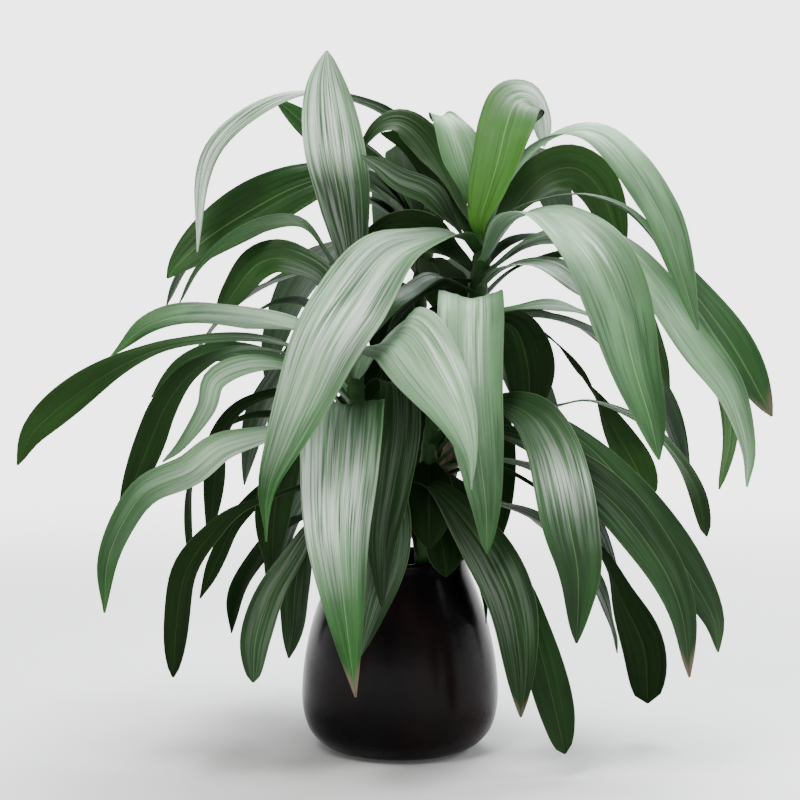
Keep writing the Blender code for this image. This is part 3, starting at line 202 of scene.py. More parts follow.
FRONT_LEAVES = [
    # Painted shade over the lower part of this leaf and painted sheen over its top, where a shadow's edge
    # crosses it
    Leaf("tall upright", 43.6, 7.2, 0.7, (0.5, 0.4), [
        (-5.2, 50, -8), (-5.5, 56, -7), (-6.6, 63.5, -5), (-7.7, 69.3, -3.5), (-8.5, 76.5, -3.5),
        (-8.4, 80.7, -4)], pale=(0, 0, 0, 0, 0, 0.1, 0.9, 1, 1),
        dark=(0.8, 0.8, 0.7, 0.65, 0.65, 0.6, 0.05, 0, 0),
        lilac=(0.2, 0.3, 0.35, 0.4, 0.4, 0.45, 1, 1, 0.7)),
    # A painted sheen over the middle of this leaf
    Leaf("front drop", 31, 8.6, 0.38, 0, [
        (-5.8, 38.4, -13), (-6.2, 40, -16.2), (-6.5, 38.4, -19), (-6.9, 33, -22.5), (-7.2, 25, -26.5),
        (-6.2, 15, -28.5), (-5.1, 6.3, -29.5)], 0.85, pale=(0, 0, 0.1, 0.5, 0.95, 1, 0.5, 0.1, 0),
        lilac=(0, 0, 0, 0.4, 0.9, 1, 0.3, 0, 0), green_side=-1, brown=0.9),
    Leaf("dark drop", 38.6, 5, 0.48, 0.3, [
        (-2.4, 41.8, -9), (-0.4, 42.2, -11), (-0.3, 37, -13.5), (-1.2, 31, -15.5), (-2.2, 24.4, -17),
        (-2.1, 16.7, -17.5)], dark=(0.9, 0.8, 0.8), lilac=(0.15, 0.3, 0.15)),
    Leaf("pale drop behind", 30, 4.4, 0.5, 0.3, [
        (-2.6, 32, -11), (-1.2, 29, -13.5), (-1.2, 23, -15), (-3.2, 16, -16.5), (-4.6, 11, -17.5)],
        lilac=(0.3, 0.3, 0.2), pale=0.1, dark=(0.6, 0.5, 0.5)),
    Leaf("pleated fold", 42.8, 8.2, 0.46, 0.75, [
        (-3.4, 45.9, -12.5), (-1.4, 47.4, -17), (0.6, 47.6, -20.5), (2.9, 44.5, -22.6), (5.4, 40.5, -23.6),
        (7.1, 37, -24), (8.1, 33.6, -23.8), (8.2, 30.2, -23.4)], 1.25, pale=(0.9, 1, 1, 1, 0.6),
        lilac=(0, 0.2, 0.2, 0.1, 0)),
    Leaf("left upper reach", 42, 5.2, 0.5, 0.35, [
        (-9, 47, -9.5), (-14, 49.2, -11), (-23, 50.2, -12.5), (-29, 49, -13), (-33.3, 45.5, -13)],
        pale=(0.5, 0.7, 0.6, 0.3, 0.1), dark=(0.1, 0, 0.05, 0.1, 0.3)),
    Leaf("far left", 40.6, 5, 0.7, (0.3, 0.8), [
        (-9, 44.8, -6), (-16, 47.4, -5), (-25, 47, -4), (-31, 45, -4), (-37, 41.3, -4), (-42, 37, -4.5),
        (-44, 33, -4.5)], pale=(0.6, 0.3, 0, 0, 0), dark=(0, 0.3, 0.7, 0.82, 0.75),
        fresh=(0, 0, 0.1, 0.2, 0.4)),
    Leaf("left small dark", 38.9, 3.4, 0.6, (0.4, 0.6), [
        (-12, 44, -0.5), (-20, 46, 2), (-25, 44.8, 3.5), (-28.6, 40.8, 4)], dark=(0.65, 0.7, 0.7)),
    Leaf("left pale then dark", 39.8, 4, 0.72, (0.4, 0.8), [
        (-11, 45, -8.5), (-18, 46.4, -9), (-23.5, 44, -9.5), (-26.8, 40, -9.5), (-28.8, 35.5, -10),
        (-32.2, 27.2, -10)], pale=(0.4, 0.4, 0.1, 0, 0), dark=(0.1, 0.3, 0.75, 0.9, 0.9)),
    Leaf("left pale inner", 38, 3.2, 0.6, (0.4, 0.5), [
        (-10, 43, -12), (-16, 44.6, -14), (-21, 43, -14.5), (-22.3, 39.5, -14.5), (-25, 35.4, -14.5),
        (-27.3, 33.4, -14.5)], pale=(0.4, 0.75, 0.3), lilac=(0.1, 0.3, 0.1)),
    Leaf("left low sweep", 34.6, 4.4, 0.55, (0.5, 0.6), [
        (-10, 37.7, -12.5), (-15, 36.5, -15.5), (-20.5, 35, -17.5), (-24.2, 32.2, -18.5),
        (-28.8, 30.2, -19.5), (-31.5, 27, -20), (-33.6, 22, -20), (-34, 16, -20)],
        pale=(0.3, 0.7, 0.8, 0.3, 0), lilac=(0.1, 0.3, 0.3, 0, 0), dark=(0, 0, 0, 0.1, 0.35)),
    Leaf("left dark hanging", 37.2, 3.6, 0.65, (0.4, 0.7), [
        (-9, 41, -4.5), (-14, 41.2, -3), (-18.5, 39.5, -2), (-20.8, 36, -2), (-21.3, 31, -2),
        (-22, 24.4, -2)], dark=(0.93, 0.95, 0.95)),
    Leaf("left dark narrow", 34, 3, 0.65, (0.3, 0.6), [
        (-10, 38, 1), (-18, 38.3, 4), (-22.5, 34.5, 5), (-24.2, 30, 5), (-24, 21, 5)], dark=0.97),
    Leaf("left low brown", 31.2, 3.6, 0.75, (0.15, 0.7), [
        (-7.5, 31.6, -13), (-11, 30.4, -18), (-14.5, 29.3, -20), (-18.4, 28, -21), (-21.3, 25.5, -21.5),
        (-24.5, 21, -22), (-25.6, 15.5, -22), (-26.1, 8.6, -22)], 0.6, dark=(0.95, 0.97, 0.97), brown=0.5),
    Leaf("left low dark", 29, 3.2, 0.6, (0.4, 0.6), [
        (-9, 32, -6), (-14, 31, -6), (-18.5, 27, -6.5), (-20.8, 22.5, -7), (-23, 17.7, -7)],
        dark=(0.97, 0.97, 0.95)),
    Leaf("low left blunt", 28.2, 3.6, 0.75, (0.4, 0.7), [
        (-7.5, 28.5, -14), (-10, 26, -17.5), (-12.5, 22, -19.5), (-15, 18, -20.5), (-16.6, 13, -21),
        (-16.9, 8, -21)], 0.5, lilac=(0.3, 0.3, 0.1), dark=(0.7, 0.6, 0.6), brown=0.4),
    Leaf("low left short", 26.6, 3.5, 0.65, (0.5, 0.7), [
        (-8, 27.2, -11), (-11, 24, -13), (-12, 19, -14.5), (-12.3, 14.5, -15), (-12.8, 10.8, -15)],
        dark=(0.75, 0.7, 0.65), lilac=0.1),
    Leaf("left shoulder arc", 44, 4, 0.6, (0.3, 0.2), [
        (-6, 52, -10), (-8.6, 57.4, -10.5), (-11.7, 60.8, -11.5), (-17.2, 59.9, -12.5),
        (-22.4, 56.6, -13.5), (-25.4, 51.6, -14)], pale=(0.1, 0.05, 0.05), dark=(0.6, 0.6, 0.55)),
    Leaf("left green hanging", 43.2, 5, 0.65, (0.5, 0.8), [
        (-8, 53.4, -4.5), (-12.6, 56.6, -2.5), (-16.2, 56.2, -1.5), (-19, 53, -0.5), (-21.2, 49.2, -0.5)],
        fresh=(0.1, 0.2, 0.2), dark=0.6),
    Leaf("left sliver", 41.4, 3, 0.6, (0.1, 0.2), [
        (-8, 49.4, -6), (-11, 51.6, -6), (-14.5, 51.5, -5.5), (-18.4, 49.7, -5)], dark=0.5),
    Leaf("dark mass left", 33, 5.4, 0.6, (0.2, 0.3), [
        (-8, 35.2, -10.5), (-12, 34.8, -13), (-14, 30, -14), (-14.6, 25, -14.5), (-14.6, 19.8, -14.5)],
        dark=0.95),
]

FRONT_ARCHES = [
    (118, 30.8, 30, -80, 34, 5.4), (152, 28, 16, -84, 26, 5), (112, 39, 44, -76, 38, 5.6),
    (-12, 31.6, -15, -84, 11, 5.2), (66, 32.4, 6, -88, 13, 5.2),
]

LOW_LEAVES = [
    # Painted shade over most of this leaf, with a patch of painted sheen past its middle
    Leaf("front right", 35.2, 6.6, 0.62, 0.5, [
        (7, 38.8, -10), (11, 40.1, -13), (14.8, 38.8, -17), (17.2, 35.5, -20), (18.6, 31, -22),
        (19.6, 25.5, -23), (20.5, 20, -24), (20.3, 12.5, -24)],
        dark=(0.8, 0.8, 0.78, 0.75, 0.55, 0.1, 0.4, 0.6, 0.65), lilac=(0, 0, 0, 0, 0.3, 0.9, 0.2, 0, 0),
        pale=(0.1, 0.1, 0.1, 0.1, 0.15, 0.4, 0.2, 0.1, 0), brown=0.2),
    # Painted shade, with a faint painted sheen past the middle
    Leaf("low front", 29.4, 6, 0.55, 0.3, [
        (2.6, 30.6, -9.5), (4.6, 29.8, -12), (7.5, 26.5, -14.5), (10.5, 22, -17), (12.8, 16.5, -19),
        (13.8, 10, -20), (13.9, 4, -20)], dark=(0.85, 0.85, 0.85, 0.8, 0.7, 0.65, 0.65, 0.75, 0.8),
        lilac=(0, 0.05, 0.1, 0.15, 0.25, 0.35, 0.25, 0.1, 0.1), brown=0.8),
    Leaf("low behind", 27.4, 5, 0.76, (0.4, 0.5), [
        (6, 27.3, -7.5), (10, 24.5, -9.5), (13.5, 19.5, -12), (15.5, 14, -14), (17.2, 7.5, -15),
        (19, -0.2, -15)], 0.5, dark=(0.9, 0.85, 0.8, 0.75, 0.75), fresh=(0, 0, 0.1)),
    Leaf("right long", 34, 5.2, 0.68, (0.5, 0.7), [
        (10, 39.8, -6.5), (16, 38.8, -8.5), (21.5, 35.3, -9.5), (26, 30.5, -11), (29.8, 25.5, -12),
        (33.2, 20.5, -12.5), (36, 15.5, -12.5), (36.6, 11.5, -12.5)], dark=(0.8, 0.75, 0.7, 0.65, 0.6),
        pale=(0, 0, 0.05, 0.1, 0.1)),
    Leaf("right front", 32.8, 5.2, 0.6, (0.6, 0.7), [
        (9, 36.6, -10), (15, 35.4, -13), (20, 32.3, -15.5), (24, 29.2, -17.5), (27.4, 25.4, -18.5),
        (30.6, 20.6, -19.5), (32.5, 15.5, -20), (33.3, 8.6, -20)], dark=(0.75, 0.7, 0.65, 0.65, 0.6),
        pale=(0, 0.1, 0.1, 0.05, 0.05), lilac=(0, 0.1, 0.15, 0.05, 0), brown=0.9),
    Leaf("right black", 31, 5.6, 0.82, (0.2, 0.9), [
        (9, 33, -1.5), (15, 31, 1), (20, 27, 2.5), (23.5, 22, 3.5), (25.5, 17.5, 3.5), (28, 12, 3.5),
        (28.5, 5.6, 3.5)], 0.4, dark=1),
    Leaf("right thin arc", 36.6, 3.8, 0.8, (0.1, 0.6), [
        (8, 38.4, -3.5), (13, 38.9, -2), (17.6, 39.7, -0.5), (21.9, 40.4, 0.5), (27.6, 38, 1.5),
        (31.3, 34.5, 1.5), (34, 30, 1.5), (35.3, 24.8, 1.5)], 0.5, lilac=(0.5, 0.6, 0),
        dark=(0.3, 0.2, 0.85)),
]

LOW_ARCHES = [
    (30, 32.2, 30, -80, 36, 5.4), (20, 28.6, 20, -82, 34, 5.2), (2, 26.6, -20, -88, 14, 5),
    (270, 34, -10, -88, 12, 5.6), (328, 33, -10, -88, 13, 5.6), (300, 28.6, -20, -88, 9, 5.2),
]

REAR_LEAVES = [
    Leaf("big dark left", 58.4, 6.2, 0.68, 0.8, [
        (-2, 63.8, 8), (-7, 66, 5), (-11.5, 65.2, 2), (-17, 62.4, -1), (-22, 59.2, -3), (-25.4, 56.2, -4),
        (-26.8, 54.5, -4)], dark=(0.6, 0.55, 0.5, 0.5, 0.5), fresh=(0.1, 0.15, 0.2)),
    Leaf("thin arch", 60.4, 4.2, 0.55, 0.1, [
        (2, 68, 9.5), (-1, 72.6, 7.5), (-4.8, 74.7, 4.5), (-9.8, 75.9, 0.5), (-14.9, 74.7, -3),
        (-20, 70.9, -5.5), (-22.4, 66.2, -7), (-23.3, 57.5, -7.5)], pale=(0.4, 0.7, 0.5),
        lilac=(0.3, 0.8, 0.9)),
    Leaf("small left behind", 59, 3.8, 0.65, (0.7, 0.8), [
        (-1, 66, 11), (-6, 69.6, 11), (-10, 71.6, 10), (-14.4, 75.2, 9)], dark=(0.4, 0.35, 0.3), brown=0.7),
]

REAR_ARCHES = [
    (176, 52.2, 42, -76, 38, 5.8), (150, 57.4, 58, -64, 46, 6.2), (124, 54.2, 44, -72, 46, 6.4),
    (98, 59.4, 62, -60, 48, 6.2), (76, 53.2, 36, -76, 44, 6.4), (140, 48.4, 22, -82, 40, 5.8),
    (108, 46.4, 12, -84, 38, 5.8), (72, 49.6, 20, -84, 38, 5.8), (-70, 46.8, -45, -89, 18, 6.2),
    (-118, 46.8, -35, -89, 20, 6.2), (200, 47, -30, -89, 20, 6.2), (160, 46.4, -20, -89, 28, 6.8),
    (126, 45.8, -10, -89, 30, 6.8), (92, 46.6, -5, -89, 28, 6.8), (56, 46, -10, -89, 28, 6.8),
    (232, 57, 20, -86, 20, 6), (236, 53.4, 0, -88, 13, 6), (292, 56.4, 10, -88, 12, 6),
    (96, 58.4, 82, 10, 21, 8.6), (40, 57.2, 76, 0, 19, 6.4), (146, 57.6, 78, 0, 21, 7.6),
]

# The four leafy heads
HEADS = [
    Head("leafy_head_tall", (3.2, 0.5), "cane_tall", [(8, -1, 44), (8.8, -1.5, 52), (9.6, -2, 60)], 1.1,
         TALL_LEAVES, TALL_ARCHES),
    Head("leafy_head_front", (-3.2, -2.6), "cane_front",
         [(-3.8, -6.8, 25), (-4.2, -7.6, 34), (-5, -8.4, 44)], 1.1, FRONT_LEAVES, FRONT_ARCHES),
    Head("leafy_head_low", (2.6, -4.2), None, [(2.6, -4.9, 24), (3, -5.6, 31), (3.4, -6.2, 37)], 1,
         LOW_LEAVES, LOW_ARCHES),
    Head("leafy_head_rear", (-0.6, 4.2), "cane_rear", [(1.5, 9, 45), (2.4, 9.8, 53), (3.4, 10.6, 61)], 1.1,
         REAR_LEAVES, REAR_ARCHES),
]

# How fine a blade is: steps along it and across it
HAND_PLACED_GRID = (44, 38)
ARCH_GRID = (36, 28)

# The form of a blade's surface, in metres for a blade as wide as FULL_WIDTH. Pleats and waves grow
# over the OPENING and fade over the CLOSING, which are parts of its length.
FULL_WIDTH = 0.08
MARGIN_WAVE = 0.0036
SLOW_WAVE = 0.0026
MIDRIB_RIDGE = 0.0006
OPENING = (0.08, 0.3)
CLOSING = (0.86, 1.0)

# The waves along a blade: the fewest and the most at its left margin, how many times as many at the
# right one, how close they keep to the margins, and how many slow ones tilt it
LEFT_WAVES = (1.6, 2.8)
RIGHT_WAVES = 1.15
WAVE_POWER = 2.5
SLOW_WAVES = 0.8

# The pleats: how many cross a blade and the depth of each kind, how strong they are, how much that
# changes along and across the blade, how they spread, and the most that a wave starts late
PLEATS = [(3.6, 0.00042), (5.7, 0.00040), (8.9, 0.00026), (13.3, 0.00012)]
PLEAT_STRENGTH = 0.65
PLEAT_CHANGE = 0.35
PLEAT_DRIFT = 5.0
PLEAT_SLANT = 4.0
PLEAT_SPREAD = 0.06
MOST_PHASE = 6.3

# The thickness of a blade in metres and what its tip loses of it, and the breadth of the midrib and
# the rounding of the channel as shares of half the width
MARGIN_THICKNESS = 0.0005
MIDDLE_EXTRA = 0.0005
TIP_THINNING = 0.5
MIDRIB_BREADTH = 0.07
MIDRIB_FADE = 0.8
CHANNEL_ROUNDING = 0.015

# What each point of a leafy head tells its material: its place in decimetres, tone and dryness, the
# pleats' height in millimetres, the distance from the midrib, and 1 on the underside. Each blade has
# a place of its own in the patterns, within PLACE_RANGE.
POINT_KINDS = {"place": ("FLOAT_VECTOR", "vector"), "tone": ("FLOAT_COLOR", "color")}
NUMBER_KIND = ("FLOAT", "value")
PLACE_SCALE = 10.0
PLACE_RANGE = 90.0
RIDGE_SCALE = 1000.0

# How fine the other pieces are: rows and sides, and steps
STEM_GRID = (90, 24)
CANE_GRID = (110, 36)
CANE_CURVE_STEPS = 4
POT_FINE_STEPS = 8
POT_FINE_SIDES = 144
POT_RIM_FINE_STEPS = 14
SOIL_RINGS = 26
SOIL_FINE_SIDES = 110
CRUMBS = 420

# Stems: how deep they stand in the soil, how thick they are by the distance from the tip, in
# STEM_TIPs, and the rings that old leaves left, as shares of the radius
STEM_DEPTH = 0.069
STEM_FIT = 0.98
STEM_NARROWING = [(1.5, 1.0), (0.2, 0.6), (0.0, 0.25)]
# The stems' tone as pale, dark, fresh and lilac: a little painted sheen, much painted shade, some fresh
# green
STEM_TONE = (0.1, 0.6, 0.25, 0.0)
STEM_BREADTH = 0.8
STEM_EDGE = 0.5
SCAR_SPACING = 0.016
STEM_SCARS = 0.10
STEM_SCAR_POWER = 6.0

# Canes: their fit, scars, grooves and roughness, as shares of the radius
CANE_FIT = 0.97
CANE_SCARS = 0.07
CANE_SCAR_POWER = 8.0
CANE_SCAR_TILT = 0.25
CANE_GROOVES = 0.02
GROOVE_COUNT = 9.0
GROOVE_TWIST = 60.0
CANE_ROUGHNESS = 0.01
CANE_SEED = 40

# The innermost ring of the pot's floor and of its flat foot, as shares of the foot's radius
POT_FLOOR_SHARE = 0.3
POT_FOOT_SHARE = 0.97

# The soil, in metres: its cut corner and the gap below it, its cut edge above, its bumps, and how far
# out its crumbs lie, their sizes, depth and stretch
SOIL_CORNER = 0.01
SOIL_LIFT = 0.001
SOIL_EDGE = 0.002
BUMP_SCALES = (90.0, 260.0)
BUMP_HEIGHT = 0.0028
BUMP_SINK = 0.0022
CRUMB_SPREAD = 0.93
CRUMB_SIZES = (0.0012, 0.0042)
CRUMB_SINK = 0.0028
CRUMB_RISE = 0.3
CRUMB_STRETCH = [(0.7, 1.2), (0.7, 1.2), (0.5, 0.9)]
CRUMB_SEED = 7

# The leaves' colours
LEAF_DEEP = (0.006, 0.030, 0.005)
LEAF_GREEN = (0.018, 0.075, 0.014)
LEAF_LIGHT = (0.045, 0.130, 0.035)
# The sage of pale leaves: partly their own colour, partly a painted sheen of light on their wax
LEAF_SAGE = (0.21, 0.35, 0.21)
# Whitish streaks painted as highlights on the crests of the pleats
LEAF_PAINTED_HIGHLIGHT = (0.66, 0.76, 0.66)
LEAF_FRESH = (0.050, 0.150, 0.015)
# A painted grey sheen, streaked along leaves with a lilac tone
LEAF_LILAC = (0.44, 0.47, 0.44)
# Near black, painted as shade on leaves that lie in shade
LEAF_DARK = (0.005, 0.009, 0.003)
# Painted shade in the valleys of the pleats, also used for fine dark lines
LEAF_VALLEY_SHADE = (0.006, 0.026, 0.006)
LEAF_MIDRIB = (0.16, 0.28, 0.10)
LEAF_EDGE = (0.14, 0.20, 0.09)
# Painted shade on the undersides, less on pale leaves
LEAF_UNDERSIDE_SHADE = (0.007, 0.020, 0.005)
LEAF_DRY = (0.095, 0.068, 0.048)

# The colours of the bark, the soil, the glaze and the floor
BARK_DARK = (0.050, 0.032, 0.020)
BARK_LIGHT = (0.17, 0.125, 0.085)
BARK_CRACK = (0.022, 0.014, 0.010)
SOIL_DARK = (0.012, 0.008, 0.006)
SOIL_BROWN = (0.050, 0.034, 0.022)
SOIL_FIBRE = (0.10, 0.070, 0.045)
GLAZE_BLACK = (0.0030, 0.0026, 0.0027)
# Red-brown in random patches: partly the glaze's own tone, partly a painted sheen
GLAZE_RED = (0.010, 0.0048, 0.0050)
GLAZE_SPECK = (0.05, 0.035, 0.030)
FLOOR_GREY = (0.88, 0.88, 0.88)
FLOOR_PALE = (0.91, 0.91, 0.91)

# The camera, the surroundings and the floor. The surroundings are bright at the height of the eye
# and dimmer above, so that the plant's shade stays dark.
VIEW_FIELD = 92.0
SURROUND_COLOUR = (1.0, 1.0, 1.0)
SURROUND_STRENGTH = 3.8
SKY_STRENGTH = 0.14
SKY_START = 0.12
SKY_END = 0.26
FLOOR_REACH = 30.0
FADE_START = 0.9
FADE_END = 2.6

# Each light's name, place, size, power and colour
LIGHTS = [
    ("key_light", (-0.9, -1.9, 2.5), 1.0, 90.0, (1.0, 0.985, 0.96)),
    ("top_light", (0.5, 0.9, 2.8), 1.6, 240.0, (0.95, 0.975, 1.0)),
    ("right_light", (2.2, -0.7, 1.8), 1.0, 30.0, (0.95, 0.97, 1.0)),
]


def spline_point(before, start, end, after, t):
    """A point between start and end on the Catmull-Rom curve through four points."""
    return 0.5 * (
        2.0 * start
        + (end - before) * t
        + (2.0 * before - 5.0 * start + 4.0 * end - after) * t * t
        + (3.0 * start - before - 3.0 * end + after) * t * t * t
    )


def smooth_path(points, steps):
    """A Catmull-Rom curve through the points, with this many steps between each two."""
    ends = [2.0 * points[0] - points[1]] + points + [2.0 * points[-1] - points[-2]]
    curve = []
    for i in range(len(points) - 1):
        for step in range(steps):
            curve.append(spline_point(ends[i], ends[i + 1], ends[i + 2], ends[i + 3], step / steps))
    curve.append(points[-1])
    return curve


def even_points(curve, count):
    """count + 1 points spread evenly by length along a curve, as an array."""
    places = np.array([tuple(point) for point in curve])
    steps = np.linalg.norm(np.diff(places, axis=0), axis=1)
    lengths = np.concatenate([[0.0], np.cumsum(steps)])
    wanted = np.linspace(0.0, lengths[-1], count + 1)
    return np.stack([np.interp(wanted, lengths, places[:, k]) for k in range(3)], axis=1)


def seen_point(across, up, depth):
    """The point at this depth that the viewer sees at (across, up) on the plane through the axis."""
    aim = Vector((0.0, 0.0, VIEW_AIM))
    viewer = aim + VIEW_BACK * VIEW_DISTANCE
    seen = aim + VIEW_UP * (up - VIEW_AIM) + Vector((across, 0.0, 0.0))
    reach = (depth - viewer.y) / (seen.y - viewer.y)
    return viewer.lerp(seen, reach) * CM


def stem_point(head, height):
    """The point of the head's stem axis at a height in centimetres."""
    points = [Vector(point) for point in head.stem]
    for low, high in zip(points, points[1:]):
        if height <= high.z or high is points[-1]:
            return low.lerp(high, (height - low.z) / (high.z - low.z)) * CM


def arch_path(head, arch):
    """The midrib of a leaf that arches over in one upright plane."""
    outward = Vector((math.cos(math.radians(arch.azimuth)), math.sin(math.radians(arch.azimuth)), 0.0))
    point = stem_point(head, arch.root)
    points = [point]
    for step in range(CURVE_STEPS):
        bent = ((step + 0.5) / CURVE_STEPS) ** ARCH_BEND
        slope = math.radians(arch.rise + (arch.fall - arch.rise) * bent)
        along = outward * math.cos(slope) + Vector((0.0, 0.0, math.sin(slope)))
        point = point + along * (arch.length * CM / CURVE_STEPS)
        points.append(point)
    return points


def blade_width(part, width, widest, taper):
    """The blade's width at each part of its length, from 0 at the stem to 1 at the tip."""
    power = math.log(0.5) / math.log(widest)
    bulge = np.sin(math.pi * np.minimum(1.0, part**power))
    blade = width * np.maximum(0.0, bulge) ** np.where(part < widest, BASE_SWELL, taper)
    sheath = BASE_WIDTH * np.maximum(0.0, 1.0 - part / SHEATH_SHARE)
    return np.maximum(np.maximum(blade, sheath), TIP_WIDTH)


def unit(vectors):
    """The vectors, each with length 1."""
    return vectors / np.linalg.norm(vectors, axis=1, keepdims=True)


def blade_frames(points, turn):
    """For each point of the midrib its side and its upward normal."""
    along = unit(np.gradient(points, axis=0))
    outward = points[-1] - points[0]
    outward[2] = 0.0
    level_side = np.cross(outward / np.linalg.norm(outward), (0.0, 0.0, 1.0))
    upper = unit(np.cross(np.broadcast_to(level_side, along.shape), along))
    part = np.linspace(0.0, 1.0, len(points))
    share = np.interp(part, [0.0, 0.5, 1.0], [0.0, *np.broadcast_to(turn, 2)])[:, None]
    face = upper * (1.0 - share) + np.array((0.0, -1.0, 0.0)) * share
    side = unit(np.cross(along, face))
    return side, unit(np.cross(side, along))


def smooth_step(values, start, end):
    """0 below start, 1 above end and a smooth rise between them."""
    share = np.clip((values - start) / (end - start), 0.0, 1.0)
    return share * share * (3.0 - 2.0 * share)


class Surface:
    """Collects closed shells with their point values, and makes them one object."""

    def __init__(self):
        self.points = []
        self.faces = []
        self.values = {}
        self.count = 0

    def add(self, points, face_groups, **values):
        for faces in face_groups:
            self.faces.extend((faces + self.count).tolist())
        self.points.append(points)
        for name, numbers in values.items():
            self.values.setdefault(name, []).append(np.ravel(numbers))
        self.count += len(points)

    def build(self, name, material):
        mesh = bpy.data.meshes.new(name)
        mesh.from_pydata(np.concatenate(self.points).tolist(), [], self.faces)
        for label, numbers in self.values.items():
            kind, key = POINT_KINDS.get(label, NUMBER_KIND)
            data = np.concatenate(numbers).astype(np.float32)
            mesh.attributes.new(label, kind, "POINT").data.foreach_set(key, data)
        return finished(name, mesh, material)


def shown(name, data):
    """A new object in the scene."""
    thing = bpy.data.objects.new(name, data)
    bpy.context.scene.collection.objects.link(thing)
    return thing


def finished(name, mesh, material):
    """A smooth object that shows the mesh."""
    mesh.shade_smooth()
    mesh.materials.append(material)
    return shown(name, mesh)


def shell_faces(rows, columns):
    """The faces of a closed shell: an upper grid of points, then the same grid underneath."""
    top = np.arange((rows + 1) * (columns + 1)).reshape(rows + 1, columns + 1)
    low = top + top.size

    def quads(a, b, c, d):
        return np.stack([a.ravel(), b.ravel(), c.ravel(), d.ravel()], axis=1)

    return np.concatenate([
        quads(top[:-1, :-1], top[:-1, 1:], top[1:, 1:], top[1:, :-1]),
        quads(low[:-1, :-1], low[1:, :-1], low[1:, 1:], low[:-1, 1:]),
        quads(top[:-1, -1], low[:-1, -1], low[1:, -1], top[1:, -1]),
        quads(top[:-1, 0], top[1:, 0], low[1:, 0], low[:-1, 0]),
        quads(top[0, :-1], low[0, :-1], low[0, 1:], top[0, 1:]),
        quads(top[-1, :-1], top[-1, 1:], low[-1, 1:], low[-1, :-1]),
    ])


def blade_relief(u, v, rng):
    """The pleats of a full-width blade, and with them its wavy margins and its slow tilt.

    u runs along the blade from 0 to 1, and v across it from -1 to 1.
    """
    opened = smooth_step(u, *OPENING) * (1.0 - smooth_step(u, *CLOSING))
    ridge = 0.0
    for count, depth in PLEATS:
        drift = PLEAT_DRIFT * u + rng.uniform(0.0, MOST_PHASE)
        drift = drift + PLEAT_SLANT * v * rng.uniform(-1.0, 1.0)
        strength = PLEAT_STRENGTH + PLEAT_CHANGE * np.sin(drift)
        across = math.pi * count * (v + PLEAT_SPREAD * u * v) + rng.uniform(0.0, MOST_PHASE)
        ridge = ridge + depth * strength * np.cos(across)
    ridge = ridge * opened
    waves = rng.uniform(*LEFT_WAVES)
    left = np.sin(math.tau * waves * u + rng.uniform(0.0, MOST_PHASE))
    right = np.sin(math.tau * waves * RIGHT_WAVES * u + rng.uniform(0.0, MOST_PHASE))
    margin = np.where(v < 0.0, left, right) * np.abs(v) ** WAVE_POWER * opened
    slow = np.sin(math.tau * SLOW_WAVES * u + rng.uniform(0.0, MOST_PHASE)) * v * opened
    return ridge, ridge + MARGIN_WAVE * margin + SLOW_WAVE * slow


def blade_tones(tone, part, v, rng):
    """How pale, dark, fresh and lilac the blade is at each place."""
    chance = rng.choice([-1.0, 1.0])
    green_side = tone.get("green_side") or chance
    # The pale sage, partly painted sheen, and the painted grey sheen weaken towards the green_side margin
    bloom_and_sheen = 1.0 - GREEN_MARGIN * smooth_step(green_side * v, *GREEN_REACH)
    shades = []
    for name, share in (("pale", bloom_and_sheen), ("dark", 1.0), ("fresh", 1.0), ("lilac", bloom_and_sheen)):
        values = np.atleast_1d(tone.get(name, 0.0))
        steps = np.interp(part, np.linspace(TONE_START, TONE_END, len(values)), values)
        shades.append(steps[:, None] * share * np.ones_like(v))
    return np.stack(shades, axis=-1)


def add_blade(surface, path, width, widest, turn, taper, grid, tone, rng):
    """A fine pleated blade along the path, in the form of the CAD blade."""
    rows, columns = grid
    points = even_points(smooth_path(path, CURVE_STEPS), rows)
    length = float(np.linalg.norm(np.diff(points, axis=0), axis=1).sum())
    side, normal = blade_frames(points, turn)
    part = np.linspace(0.0, 1.0, rows + 1)
    half = 0.5 * blade_width(part, width, widest, taper)[:, None]
    channel = np.interp(part, [0.0, 0.5], [CHANNEL_AT_BASE, CHANNEL_AT_TIP])[:, None]
    u = part[:, None]
    v = np.linspace(-1.0, 1.0, columns + 1)[None, :]
    out = np.abs(v)
    scale = width / FULL_WIDTH
    ridge, relief = blade_relief(u, v, rng)
    trough = np.sqrt(v * v + CHANNEL_ROUNDING) - math.sqrt(CHANNEL_ROUNDING)
    lift = half * channel * trough + scale * relief
    thick = MARGIN_THICKNESS + MIDDLE_EXTRA * (1.0 - out) * (1.0 - TIP_THINNING * u)
    midrib = np.exp(-((v / MIDRIB_BREADTH) ** 2))
    thick = thick + MIDRIB_RIDGE * scale * midrib * (1.0 - MIDRIB_FADE * u)
    top = points[:, None, :] + side[:, None, :] * (half * v)[:, :, None]
    top = top + normal[:, None, :] * lift[:, :, None]
    low = top - normal[:, None, :] * thick[:, :, None]
    spread = np.ones((rows + 1, columns + 1))
    chance = rng.uniform(0.0, PLACE_RANGE)
    place = [spread * v * scale, spread * u * length * PLACE_SCALE, spread * chance]
    dry = tone.get("brown", USUAL_BROWN) * smooth_step(u + DRY_CORNER * out, *DRY_REACH)

    def both_sides(values):
        return np.stack([values, values])

    surface.add(
        np.stack([top, low]).reshape(-1, 3),
        [shell_faces(rows, columns)],
        place=both_sides(np.stack(place, axis=-1)),
        tone=both_sides(blade_tones(tone, part, v, rng)),
        brown=both_sides(dry * spread),
        ridge=both_sides(spread * ridge * RIDGE_SCALE),
        edge=both_sides(spread * out),
        under=np.stack([0.0 * spread, spread]),
    )


